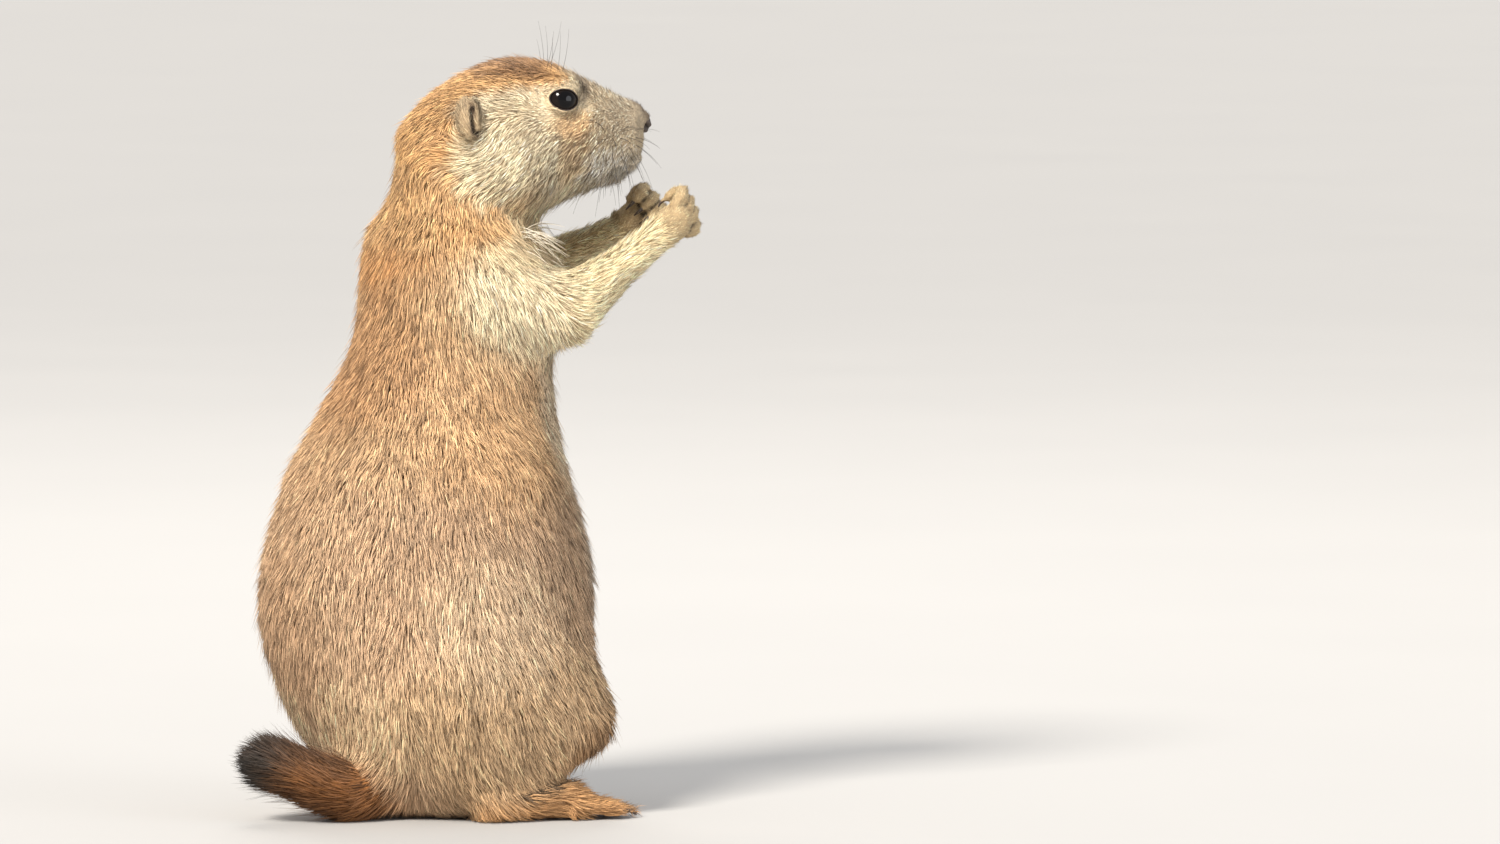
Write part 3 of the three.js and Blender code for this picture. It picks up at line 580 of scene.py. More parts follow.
# A patch has a colour, its middle, its radii and its strength, and shows on both sides
headPatches = [  # in the head's frame
    ((146, 112, 82), (12, 0, 261), (34, 17, 7.5), 0.9),  # brown of the crown
    ((112, 80, 54), (20, 12, 255.5), (13, 6, 4), 0.7),  # dark streak over the eye
    ((204, 186, 152), (14, 21, 243), (12, 9, 5), 0.5),  # greyer temple between eye and ear
    ((240, 221, 184), (10, 26, 225), (17, 15, 14), 0.85),  # cheek
    ((206, 170, 126), (36, 17, 238), (9, 9, 5.5), 0.8),  # tawny below the eye
    ((204, 170, 128), (37, 15, 229), (7, 10, 9), 0.6),  # and down the cheek
    ((226, 196, 154), (33, 14, 218), (8, 10, 6), 0.5),  # to the jaw
    ((142, 124, 101), (44, 0, 253), (13, 11, 6), 0.7),  # forehead and bridge
    ((114, 98, 84), (41, 10, 249.5), (5.5, 6.5, 6), 0.55),  # dusky patch before the eye
    ((188, 176, 154), (53, 0, 238), (14, 16, 10), 0.85),  # grizzled muzzle
    ((116, 98, 80), (61, 0, 242), (6, 4.5, 5), 0.6),  # dark ridge over the nose
    ((250, 241, 220), (50, 9, 223), (13, 10, 7), 0.9),  # lips and chin, partly their own pale colour, partly painted light against the shade below the muzzle
    ((244, 224, 190), (36, 9, 213), (16, 16, 9), 0.8),  # under the jaw, partly its own pale colour, partly painted light against the shade there
    ((230, 206, 166), (21, 10, 199), (20, 20, 19), 0.8),  # throat
]
bodyPatches = [
    ((200, 144, 90), (-16, 0, 206), (14, 30, 26), 0.75),  # nape
    ((188, 142, 98), (-28, 0, 158), (26, 40, 26), 0.7),  # shoulders
    ((206, 168, 130), (-48, 0, 104), (26, 46, 34), 0.5),  # back
    ((190, 152, 116), (-60, 0, 60), (20, 26, 40), 0.5),  # rump, along the middle
    ((218, 190, 156), (-2, 54, 72), (28, 26, 26), 0.65),  # pale haunch
    ((206, 166, 122), (14, 46, 130), (20, 20, 26), 0.5),  # low side of the chest
    ((204, 186, 162), (50, 0, 100), (16, 34, 48), 0.7),  # belly
    ((228, 208, 172), (40, 0, 168), (18, 30, 26), 0.8),  # breast
    ((140, 104, 68), (42, 40, 24), (17, 20, 18), 0.78),  # knee
    ((240, 204, 162), (-42, 24, 32), (26, 24, 22), 0.75),  # low on the rump
    ((150, 100, 58), (-34, -14, 5), (22, 16, 10), 0.85),  # rust round the root of the tail
    ((226, 201, 160), (19, 23, 201), (21, 16, 17), 0.8),  # side of the throat
    ((226, 206, 176), (38, 28, 140), (14, 22, 24), 0.6),  # below the elbow, partly its own pale colour, partly painted light against the shade on the front edge
    ((232, 210, 170), (36, 0, 190), (20, 22, 15), 0.75),  # upper breast
]
patchEdge = {"span": (0.55, 1.25), "ragged": 0.12, "swell": 9}  # how softly and unevenly a patch ends
tailColours = [(166, 114, 68), (144, 95, 51), (126, 83, 45), (52, 40, 29), (30, 25, 20)]  # root to tip
tailTopShadow = {"colour": (66, 50, 38), "strength": 0.65}  # painted shadow: the tail is darker where it faces up, standing for the body's shadow over it
eyeRing = {"pale": (222, 200, 164), "paleSpan": (1.14, 1.4), "strength": 0.7,
           "dark": (52, 38, 30), "darkSpan": (1.02, 1.1)}
digitGapShade = {"deep": (0.01, 0.14), "dark": 0.85}  # painted shade in the hollows between the digits


def laidOver(colours, place, patches):
    folded = np.stack([place[:, 0], np.abs(place[:, 1]), place[:, 2]], 1)
    for colour, centre, radii, strength in patches:
        away = np.linalg.norm((folded - centre) / radii, axis=1)
        wobble = patchEdge["ragged"] * waves(points, patchEdge["swell"], int(sum(colour)))
        share = strength * (1 - smooth01(away + wobble, *patchEdge["span"]))
        colours = mixed(colours, linear(colour), share)
    return colours


def capShare():
    x, z = headPoints[:, 0], headPoints[:, 2]
    above, behind = np.array(cap["above"], float), np.array(cap["behind"], float)
    ragged = cap["ragged"] * waves(points, 5, 31)
    high = z - np.interp(x, above[:, 0], above[:, 1]) + ragged
    rear = np.interp(z, behind[:, 1], behind[:, 0]) - x + ragged
    return smooth01(np.maximum(high, rear), -cap["soft"], cap["soft"])


def tailColoursAndShadow():
    place = np.clip(tailShare, 0, 1) * (len(tailColours) - 1)
    low = np.minimum(place.astype(int), len(tailColours) - 2)
    shades = linear(tailColours)
    # painted shadow: darker where the tail's surface faces up
    shadowedTop = tailTopShadow["strength"] * smooth01(normals[:, 2], 0.0, 0.7)
    return mixed(mixed(shades[low], shades[low + 1], place - low), linear(tailTopShadow["colour"]), shadowedTop)


def markingsAndShade():
    colours = blendedKind({kind: linear(colour) for kind, colour in baseColours.items()}, 18)
    tawny = capShare() * net.spread(isKind("head").astype(float), 4)
    onHead = laidOver(mixed(colours, linear(cap["colour"]), tawny), headPoints, headPatches)
    headShare = net.spread(isKind("head", "nose", "ear", "neck").astype(float), 8)
    colours = mixed(laidOver(colours, points, bodyPatches), onHead, headShare)
    colours = mixed(colours, tailColoursAndShadow(), net.spread(onTail.astype(float), 3))
    ring = (1 - smooth01(openEye, *eyeRing["paleSpan"])) * isFace
    colours = mixed(colours, linear(eyeRing["pale"]), eyeRing["strength"] * ring)
    colours = mixed(colours, linear(eyeRing["dark"]), 1 - smooth01(openEye, *eyeRing["darkSpan"]))
    colours = mixed(colours, linear(earCup["rim"]), 0.5 * isKind("ear"))
    # painted shade down in the ear's slit
    inside = (1 - smooth01(slitAway, earCup["half"], earCup["half"] + earCup["soft"])) * isKind("ear")
    colours = mixed(colours, linear(earCup["colour"]), 0.95 * inside)
    hollow = np.einsum("ij,ij->i", net.spread(points, 2) - points, normals)  # mm that a point lies deep
    # painted shade: the paws and hind feet darker where the skin lies in a hollow, between the digits
    dark = digitGapShade["dark"] * smooth01(hollow, *digitGapShade["deep"]) * isKind("forepaw", "hind")
    return colours * (1 - dark)[:, None]


skinColours = markingsAndShade()
print("markings laid")


# Lie of the coat: which way the hair points, its length, width, spacing and lift

hair = {  # mm long, mm wide, tufts in a square mm, degrees off the skin, share of bent tufts
    "head": (5.0, 0.30, 4.8, 23, 0.4), "nose": (1.4, 0.2, 7.0, 26, 0), "ear": (3.4, 0.28, 6.0, 32, 0),
    "neck": (7.2, 0.34, 3.3, 22, 1), "chest": (7.8, 0.34, 2.8, 22, 1), "abdomen": (8.2, 0.36, 2.5, 22, 1),
    "upper": (7.8, 0.34, 3.2, 22, 1), "forearm": (5.2, 0.28, 4.1, 22, 0.7),
    "forepaw": (1.6, 0.22, 6.5, 21, 0), "thigh": (7.8, 0.36, 2.6, 23, 1),
    "hind": (4.4, 0.27, 4.8, 28, 0.5), "tail": (11.5, 0.36, 6.5, 26, 1),
}
muzzleHair = {  # the same towards the nose, and how much less at its tip
    "from": (30, 52), "tipFrom": (55, 61),  # x in the head's frame
    "long": 3.2, "shorter": 1.9, "wide": 0.33, "finer": 0.12, "more": 0.1, "raised": 13,
}
ruff = {"at": (34, -6, 196), "size": (15, 26, 10), "edge": (0.6, 1.2)}  # long hair below the throat
flows = {  # in the animal's own frame, before it is laid along the skin
    "neck": (0.05, 0, -1), "chest": (0.1, 0, -1), "abdomen": (0.08, 0, -1), "upper": (0.3, 0, -1),
    "thigh": (0.2, 0, -0.9), "hind": (1, 0, -0.25), "tail": (-1, 0, 0),
}
bodyLie = {
    "fanFrom": (-2, 0, 0), "fan": (0.0055, 0.004, 0),  # the trunk's hair parts from this line
    "armFall": -0.35, "rounds": 60, "hold": 0.2,
    "sway": (0.16, 22), "waver": (0.13, 8), "quiet": 0.5,  # strength, mm apart; share on head and paws
}
headLie = {"from": (60, 0, 238), "fall": 0.7, "earWay": (-0.35, 0.2, 0.7),
           "ear": (0, 24, 238), "earWide": 8.0, "eyeWide": 5.5}  # mm that the lie runs round


def roundThe(way, place, centre, wide):  # bent round an upstanding thing as water runs round a stone
    arm = place - centre
    away = np.linalg.norm(arm, axis=1)
    out = arm / np.maximum(away, 1e-6)[:, None]
    share = np.clip(wide / np.maximum(away, wide), 0, 1) ** 2 * (away < 4 * wide)
    turnedWay = way - 2 * out * np.einsum("ij,ij->i", way, out)[:, None]
    return way + turnedWay * share[:, None]


def layOn(way, facing):  # taken along the surface
    return unit(way - facing * np.einsum("ij,ij->i", way, facing)[:, None])


def lieOfCoat():
    way = np.zeros_like(points)
    for kind, flow in flows.items():
        way[isKind(kind)] = flow
    fanned = isKind("neck", "chest", "abdomen", "thigh")[:, None]
    way += (points - bodyLie["fanFrom"]) * bodyLie["fan"] * fanned
    radial = unit(headPoints - headLie["from"])
    fall = smooth01(-headPoints[:, 0], -56, -36) * smooth01(-headPoints[:, 2], -250, -236) * headLie["fall"]
    radial[:, 2] -= fall * (0.25 + 0.75 * smooth01(headPoints[:, 0], 4, 26))
    for side in sides.values():
        radial = roundThe(radial, headPoints, np.array(headLie["ear"]) * [1, side, 1], headLie["earWide"])
        radial = roundThe(radial, headPoints, eyeAxes(side)[0], headLie["eyeWide"])
    way[isFace] = turned(radial, headPlace["turn"])[isFace]
    mirror = np.ones_like(points)
    mirror[:, 1] = np.sign(headPoints[:, 1])
    way[isKind("ear")] = turned(headLie["earWay"] * mirror, headPlace["turn"])[isKind("ear")]
    for side, arm in arms.items():
        elbow, wrist, palm = (np.array(arm[k], float) for k in ("elbow", "wrist", "palm"))
        way[nodeOf == "forearm_" + side] = unit(unit(wrist - elbow) + [0, 0, bodyLie["armFall"]])
        way[nodeOf == "forepaw_" + side] = unit(palm - wrist)
    nearest = (tailShare[onTail] * (tail["steps"] - 1)).round().astype(int)
    way[onTail] = unit(np.gradient(tailCurve, axis=0))[nearest]
    way = layOn(way, normals)
    for _ in range(bodyLie["rounds"]):
        way = layOn(way * bodyLie["hold"] + net.mean(way) * (1 - bodyLie["hold"]), normals)
    (sway, broad), (waver, fine) = bodyLie["sway"], bodyLie["waver"]
    aside = sway * waves(points, broad, 5) + waver * waves(points, fine, 6)
    aside = aside * np.where(isKind("head", "nose", "ear", "forepaw"), bodyLie["quiet"], 1)
    return layOn(way + np.cross(normals, way) * aside[:, None], normals)


lie = lieOfCoat()


def hairValue(column, rounds):
    return blendedKind({kind: values[column] for kind, values in hair.items()}, rounds)


hairLong, hairWide, hairMany = hairValue(0, 14), hairValue(1, 14), hairValue(2, 5)
hairLift, hairBent = hairValue(3, 10), hairValue(4, 8)
toNose = smooth01(headPoints[:, 0], *muzzleHair["from"]) * isFace
toTip = smooth01(headPoints[:, 0], *muzzleHair["tipFrom"]) * isFace
hairLong = hairLong * (1 - toNose) + (muzzleHair["long"] - muzzleHair["shorter"] * toTip) * toNose
hairWide = hairWide * (1 - toNose) + (muzzleHair["wide"] - muzzleHair["finer"] * toTip) * toNose
hairMany = hairMany * (1 + muzzleHair["more"] * toNose)
hairLift = hairLift + muzzleHair["raised"] * toNose
hairBent = hairBent * (1 - toNose)
underJaw = smooth01(-normals[:, 2], 0.1, 0.7) * isKind("head")
ruffAway = np.linalg.norm((points - ruff["at"]) / ruff["size"], axis=1)
onRuff = (1 - smooth01(ruffAway, *ruff["edge"])) * ~isFace
lowDown = (1 - smooth01(points[:, 2], 8, 34)) * isKind("abdomen", "thigh")
heel = (1 - smooth01(points[:, 0], 12, 42)) * isKind("hind")
nearEye = (1 - smooth01(openEye, 1.3, 3.2)) * isFace
brush = smooth01(tailShare, 0.45, 0.8) * onTail
brushEnd = smooth01(tailShare, 0.7, 1.0) * onTail
styled = [  # where, share longer, share closer, share steeper, degrees steeper
    (underJaw, 0.35, 0, 0, 10), (onRuff, 0.7, 0, 0, 22), (lowDown, 0.2, 0, 0, 0), (heel, 0.7, 0, 0, 0),
    (nearEye, -0.6, 0.5, -0.4, 0), (brush, 0, 0, 0, 20), (brushEnd, -0.25, 0, 0, 0),
]
for where, longer, closer, steeper, raised in styled:
    hairLong = hairLong * (1 + longer * where)
    hairMany = hairMany * (1 + closer * where)
    hairLift = hairLift * (1 + steeper * where) + raised * where
bare = (openEye < 1.06) | (noseAway(headPoints) < 0.96)
hairMany[bare | ((points[:, 2] < 2.5) & (normals[:, 2] < -0.6))] = 0  # nor on the soles
print("coat laid out")


# The coat: thin closed tufts of three sides, rooted in the skin and drawn together in clumps

coatBuild = {
    "clumpApart": 1.9, "farthest": 3.2,  # mm between clumps, and from which a tip is drawn in
    "clumpPull": 0.28,  # share of the way to the clump's middle tip
    "sunk": 0.6, "belly": 0.42,  # mm under the skin; where along a tuft it is widest
    "shadeSpread": 0.25, "clumpShade": 0.1, "faceShade": 0.13,  # spread of brightness
    "darkTips": 0.27, "paleTips": 0.34, "guard": 0.1,
    "roundness": 0.55,  # how far a tuft is shaded as a rod rather than as part of the body
    "floor": 0.25, "most": 190000,  # lowest point, most triangles in one piece
    "patch": 0.003,  # width of a tuft on the unwrap
}
guardHair = {"longer": 1.25, "steeper": 1.3, "pull": 0.3, "wide": 0.62}  # as shares of the other hair's
grizzleShare = {"nose": 0.6, "ear": 1.1, "hind": 0.9, "tail": 0.9}  # how mixed the hair is, elsewhere 1
darkTip = {"tip": (0.34, 0.28, 0.24), "middle": 0.62}  # as shares of the hair's own colour
tuftFaces = {  # by whether it is bent; three points of the girth, the tip and then the root
    True: np.array([[0, 1, 3], [1, 2, 3], [2, 0, 3], [1, 0, 4], [2, 1, 4], [0, 2, 4]]),
    False: np.array([[0, 2, 1], [0, 1, 3], [1, 2, 3], [2, 0, 3]]),
}


def scatterRoots():  # the triangle of each root, and its place in it
    a, b, c = (points[triangles[:, k]] for k in range(3))
    areas = 0.5 * np.linalg.norm(np.cross(b - a, c - a), axis=1)
    wanted = areas * hairMany[triangles].min(axis=1)
    count = (wanted + draws.random(len(triangles))).astype(int)
    face = np.repeat(np.arange(len(triangles)), count)
    u, v = draws.random((2, len(face)))
    over = u + v > 1
    u[over], v[over] = 1 - u[over], 1 - v[over]
    return face, np.stack([1 - u - v, u, v], 1)


def atRoots(values):  # a skin value carried to each root
    corner = values[triangles[rootFace]]
    return (corner * rootShare.reshape(rootShare.shape + (1,) * (corner.ndim - 2))).sum(axis=1)


def rootIs(*names):
    return np.isin(rootKind, [kinds.index(name) for name in names])


rootFace, rootShare = scatterRoots()
rootAt = atRoots(points)
rootUp = unit(atRoots(normals))
rootWay = layOn(atRoots(lie), rootUp)
rootLong = atRoots(hairLong)
rootWide = atRoots(hairWide)
rootLift = np.radians(atRoots(hairLift))
rootColour = atRoots(skinColours)
rootUv = (skinUv[rootFace] * rootShare[..., None]).sum(axis=1)
rootKind = kindOf[triangles[rootFace, 0]]
bends = draws.random(len(rootAt)) < atRoots(hairBent)
rootHeavy = np.where(bends, len(tuftFaces[True]), len(tuftFaces[False]))
print("roots", len(rootAt), "bent", bends.sum(), "triangles", rootHeavy.sum())
for kind in kinds:
    print("  ", kind, rootIs(kind).sum(), "tufts", rootHeavy[rootIs(kind)].sum(), "triangles")


def clumps():  # for each root the clump that it belongs to
    order = draws.permutation(len(rootAt))
    spacing = coatBuild["clumpApart"] * np.clip(rootLong / 9, 0.35, 1.3)
    wanted = 1 / np.maximum(spacing**2, 0.3)
    density = atRoots(hairMany)
    chosen = order[draws.random(len(order)) < (wanted / np.maximum(density, 0.1))[order]]
    tree = KDTree(len(chosen))
    for i, place in enumerate(rootAt[chosen].tolist()):
        tree.insert(place, i)
    tree.balance()
    return chosen[np.array([tree.find(place)[1] for place in rootAt.tolist()])]


clumpOf = clumps()
print("clumps", len(np.unique(clumpOf)))


def shapeTufts():  # root, middle and tip of every tuft
    count = len(rootAt)
    length = rootLong * draws.uniform(0.6, 1.15, count)
    guard = draws.random(count) < coatBuild["guard"]
    length = np.where(guard, length * guardHair["longer"], length)[:, None]
    lift = rootLift * draws.uniform(0.6, 1.3, count) * np.where(guard, guardHair["steeper"], 1)
    lift = lift * np.where(bends, 1, 0.85)
    way = unit(rootWay + np.cross(rootUp, rootWay) * draws.normal(0, 0.15, count)[:, None])

    def leaning(share):  # a tuft starts steeper than its lift and ends flatter
        return way * np.cos(lift * share)[:, None] + rootUp * np.sin(lift * share)[:, None]

    middle = rootAt + leaning(1.4) * length * coatBuild["belly"]
    tip = middle + leaning(0.6) * length * (1 - coatBuild["belly"])
    pull = coatBuild["clumpPull"] * draws.uniform(0.6, 1.3, count)
    pull = pull * np.where(guard, guardHair["pull"], 1) * np.where(rootIs("head"), 0.5, 1)
    together = tip[clumpOf] - tip
    apart = np.linalg.norm(together, axis=1, keepdims=True)
    together = together * np.minimum(1, coatBuild["farthest"] / np.maximum(apart, 1e-6)) * pull[:, None]
    return rootAt - rootUp * coatBuild["sunk"], middle + together * 0.3, tip + together, guard


tuftRoot, tuftMiddle, tuftTip, isGuard = shapeTufts()


def shadeTufts():  # colour of each tuft at its root, middle and tip
    count = len(rootAt)
    grizzle = np.array([grizzleShare.get(kind, 1.0) for kind in kinds])[rootKind]
    face = rootIs("head", "nose", "ear")
    muzzle = atRoots(toNose)
    shade = 1 + draws.normal(0, coatBuild["shadeSpread"], count) * grizzle * (1 + 0.9 * muzzle)
    clumpSpread = np.where(face, coatBuild["faceShade"], coatBuild["clumpShade"])
    clumpSpread = clumpSpread + 0.2 * muzzle + 0.15 * rootIs("forepaw")
    clumpShade = 1 + draws.normal(0, 1, count)[clumpOf] * clumpSpread * grizzle
    broad = 1 + 0.07 * waves(rootAt, 14, 11) + 0.06 * waves(rootAt, 4, 12)
    own = rootColour * np.clip(shade * clumpShade * broad, 0.4, 1.7)[:, None]
    dice = draws.random(count)
    dark = (dice < (coatBuild["darkTips"] + 0.18 * muzzle) * grizzle)[:, None]
    pale = (dice > 1 - (coatBuild["paleTips"] + 0.1 * muzzle) * grizzle)[:, None]
    tip = np.where(dark, own * darkTip["tip"], np.where(pale, own * 1.3 + 0.035, own * 1.05))
    middle = np.where(dark, own * darkTip["middle"], np.where(pale, own * 1.08, own * 0.9))
    # the roots darker: partly the hair's own darker base, partly painted shade deep in the coat
    deep = np.where(face, 0.46, 0.52)[:, None]
    return own * deep * [1, 0.95, 0.9], middle, tip


tuftColours = shadeTufts()


def coatArrays(which, bent):  # a bent tuft is widest at its bend and runs to a point both ways
    root, middle, tip = tuftRoot[which], tuftMiddle[which], tuftTip[which]
    wide = rootWide[which] * np.where(isGuard[which], guardHair["wide"], 1) * (1 if bent else 0.85)
    side = unit(np.cross(unit(tip - root), rootUp[which]))
    over = np.cross(unit(tip - root), side)
    girthAt = middle if bent else root
    ring = []
    for a in np.radians((90, 210, 330)).tolist():
        ring.append(girthAt + (side * math.cos(a) + over * math.sin(a) * 0.8) * wide[:, None] * 0.52)
    return np.stack([*ring, tip, root] if bent else [*ring, tip], 1)


def patchPlaces(bent):  # where a tuft's points lie in its own patch of the unwrap
    places = [[0, -0.1], [-0.8, -0.35], [0.8, -0.35], [0, 1], [0, -1]]
    return np.array(places if bent else places[:4]) * (coatBuild["patch"] / 2)


def makeCoat(name, parts, material):  # parts are a list of roots of bent tufts, and one of straight ones
    places, faces, colours, uvs, outward = [], [], [], [], []
    start = 0
    for which, bent in zip(parts, (True, False)):
        if not len(which):
            continue
        tufts, own = coatArrays(which, bent), tuftFaces[bent]
        count, each = tufts.shape[:2]
        tufts[..., 2] = np.maximum(tufts[..., 2], coatBuild["floor"])
        spread = tufts - tufts[:, :3].mean(axis=1, keepdims=True)
        ahead = unit(tuftTip[which] - tuftRoot[which])[:, None]
        spread = unit(spread - ahead * (spread * ahead).sum(-1, keepdims=True)) * coatBuild["roundness"]
        spread[:, 3:] = 0
        outward.append((rootUp[which][:, None] + spread).reshape(-1, 3))
        faces.append((own[None] + (start + np.arange(count) * each)[:, None, None]).reshape(-1, 3))
        start += count * each
        places.append(tufts.reshape(-1, 3))
        rootShade, middleShade, tipShade = (shade[which] for shade in tuftColours)
        # the root rows take the root colour, partly painted shade deep in the coat
        rows = [middleShade] * 3 + [tipShade, rootShade] if bent else [rootShade * 1.35] * 3 + [tipShade]
        colours.append(np.stack(rows, 1).reshape(-1, 3))
        uvs.append((rootUv[which][:, None, None] + patchPlaces(bent)[own][None]).reshape(-1, 2))
    coat = makeObject(name, np.concatenate(places), np.concatenate(faces))
    colours, uvs = np.clip(np.concatenate(colours), 0.002, 0.95), np.clip(np.concatenate(uvs), 0, 1)
    dressed(coat, material, colours, uvs)
    coat.data.normals_split_custom_set_from_vertices(unit(np.concatenate(outward)))
    return coat


coatPieces = {  # piece: its slot, and the kinds of skin that it grows on
    "coat_head": ("coat_face", "head", "nose"), "coat_ears": ("coat_face", "ear"),
    "coat_neck": ("coat_nape", "neck"), "coat_chest": ("coat_chest", "chest"),
    "coat_abdomen": ("coat_back", "abdomen"), "coat_upper_arms": ("coat_arm", "upper"),
    "coat_forearms": ("coat_arm", "forearm"), "coat_forepaws": ("coat_arm", "forepaw"),
    "coat_thighs": ("coat_back", "thigh"), "coat_hind_feet": ("coat_foot", "hind"),
    "coat_tail": ("coat_brush", "tail"),
}


# Materials

def socket(tree, name, kind, way="INPUT", value=None):
    made = tree.interface.new_socket(name, in_out=way, socket_type=kind)
    if value is not None:
        made.default_value = value
    return made


def addNode(tree, kind, inputs=None, **settings):  # an input is fed from another node or set to a value
    made = tree.nodes.new(kind)
    for name, value in settings.items():
        setattr(made, name, value)
    for name, value in (inputs or {}).items():
        if isinstance(value, bpy.types.NodeSocket):
            tree.links.new(value, made.inputs[name])
        else:
            made.inputs[name].default_value = value
    return made


def grainGroup():  # fine uneven streaks in a colour, with a matching roughness and height
    tree = bpy.data.node_groups.new("coatGrain", "ShaderNodeTree")
    socket(tree, "Color", "NodeSocketColor", value=(0.5, 0.4, 0.3, 1))
    socket(tree, "Scale", "NodeSocketFloat", value=500.0)
    socket(tree, "Amount", "NodeSocketFloat", value=0.3)
    socket(tree, "Dull", "NodeSocketFloat", value=0.8)
    socket(tree, "Color", "NodeSocketColor", "OUTPUT")
    socket(tree, "Roughness", "NodeSocketFloat", "OUTPUT")
    socket(tree, "Height", "NodeSocketFloat", "OUTPUT")
    given = addNode(tree, "NodeGroupInput").outputs
    place = addNode(tree, "ShaderNodeTexCoord").outputs["Object"]
    noise = addNode(tree, "ShaderNodeTexNoise", {"Vector": place, "Scale": given["Scale"], "Detail": 4})
    fine = noise.outputs["Fac"]
    centred = addNode(tree, "ShaderNodeMath", {0: fine, 1: 0.5}, operation="SUBTRACT").outputs[0]
    terms = {0: centred, 1: given["Amount"], 2: 1.0}
    strength = addNode(tree, "ShaderNodeMath", terms, operation="MULTIPLY_ADD").outputs[0]
    terms = {0: given["Color"], "Scale": strength}
    streaks = addNode(tree, "ShaderNodeVectorMath", terms, operation="SCALE").outputs[0]
    terms = {0: centred, 1: 0.25, 2: given["Dull"]}
    rough = addNode(tree, "ShaderNodeMath", terms, operation="MULTIPLY_ADD").outputs[0]
    addNode(tree, "NodeGroupOutput", {"Color": streaks, "Roughness": rough, "Height": fine})
    return tree


grain = grainGroup()


def finish(name, colour=None, scale=500.0, amount=0.3, dull=0.8, bump=0.0, **fixed):
    material = bpy.data.materials.new(name)
    material.use_nodes = True
    tree = material.node_tree
    shader = tree.nodes["Principled BSDF"]
    own = addNode(tree, "ShaderNodeGroup", node_tree=grain)
    own.inputs["Scale"].default_value = scale
    own.inputs["Amount"].default_value = amount
    own.inputs["Dull"].default_value = dull
    if colour is None:  # the markings and painted shade colour it
        painted = addNode(tree, "ShaderNodeAttribute", attribute_name="markingsAndShade")
        tree.links.new(painted.outputs["Color"], own.inputs["Color"])
    else:
        own.inputs["Color"].default_value = (*linear(colour), 1)
    tree.links.new(own.outputs["Color"], shader.inputs["Base Color"])
    tree.links.new(own.outputs["Roughness"], shader.inputs["Roughness"])
    if bump:
        raised = addNode(tree, "ShaderNodeBump", {"Distance": bump * 0.001, "Height": own.outputs["Height"]})
        tree.links.new(raised.outputs["Normal"], shader.inputs["Normal"])
    for name, value in fixed.items():
        shader.inputs[name.replace("_", " ")].default_value = value
    return material


furFinish = finish("fur", scale=420.0, amount=0.5, dull=0.68, Specular_IOR_Level=0.35)
skinFinish = finish("skin under the fur", scale=900.0, amount=0.7, dull=0.85, bump=0.4)
noseFinish = finish("nose leather", scale=1300.0, amount=0.5, dull=0.55, bump=0.25)
eyeFinish = finish("wet eye", scale=300.0, amount=0.3, dull=0.06, Specular_IOR_Level=0.2)
lidFinish = finish("lid rim", (38, 27, 22), scale=1500.0, amount=0.5, dull=0.42, bump=0.1)
clawFinish = finish("claw horn", (62, 48, 38), scale=700.0, amount=0.9, dull=0.42, bump=0.08)
fringeFinish = finish("breast fringe", (226, 216, 196), scale=300.0, amount=0.4, dull=0.6)
whiskerFinish = finish("whisker", (26, 20, 17), scale=200.0, amount=0.4, dull=0.5)


# The skin and the coat as pieces

pieces = {}  # piece: (slot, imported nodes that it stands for)
underFurAndShade = {"furred": (0.55, 0.51, 0.47), "thin": (0.9, 0.88, 0.85)}  # the skin below the hair darker where furred: partly the darker underfur, partly painted shade among the hair


def dressSkin():
    shade = mixed(underFurAndShade["furred"], underFurAndShade["thin"], np.clip(nearEye + 0.5 * isKind("ear"), 0, 1))
    skin = dressed(makeObject("skin", points, triangles), skinFinish, skinColours * shade, skinUv)
    pieces[skin] = ("coat_back", [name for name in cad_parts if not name.startswith(("eye_", "nose"))])


def dressCoat():
    for name, (slotName, *grown) in coatPieces.items():
        which = np.nonzero(rootIs(*grown))[0]
        which = which[np.argsort(np.arctan2(rootAt[which, 1], rootAt[which, 0] - 5), kind="stable")]
        heavy = np.cumsum(rootHeavy[which])
        count = max(1, math.ceil(heavy[-1] / coatBuild["most"]))
        for k in range(count):
            part = which[(heavy > heavy[-1] * k / count) & (heavy <= heavy[-1] * (k + 1) / count)]
            title = name if count == 1 else f"{name}_{k + 1}"
            coat = makeCoat(title, (part[bends[part]], part[~bends[part]]), furFinish)
            pieces[coat] = (slotName, [])
            print(title, len(part), "tufts", len(coat.data.polygons), "triangles")


dressSkin()
dressCoat()


# Eyes: a dark wet ball with a slight swell over the pupil, and a dark rim round the opening

eyeLook = {
    "swell": 0.12, "swellSpan": (0.3, 0.85),  # mm, and radians from the middle
    "pupil": 0.5, "iris": 0.9, "soft": 0.05,  # radians
    "pupilColour": (6, 5, 6), "irisColour": (20, 13, 9), "whiteColour": (12, 8, 7),
    "rimSize": 0.22, "rimOut": 0.2, "rimAt": 1.02,  # mm, mm over the ball, 1 is on the edge of the almond
}


def ballArrays(rings, count):  # a unit ball with its pole along +x
    angles = np.linspace(0, math.pi, rings + 1)[1:-1]
    turn = np.linspace(0, 2 * math.pi, count, endpoint=False)
    a, t = np.meshgrid(angles, turn, indexing="ij")
    rows = np.stack([np.cos(a), np.sin(a) * np.cos(t), np.sin(a) * np.sin(t)], -1).reshape(-1, 3)
    return np.vstack([rows, [[1, 0, 0], [-1, 0, 0]]]), closedRows(len(angles), count)[:, ::-1]


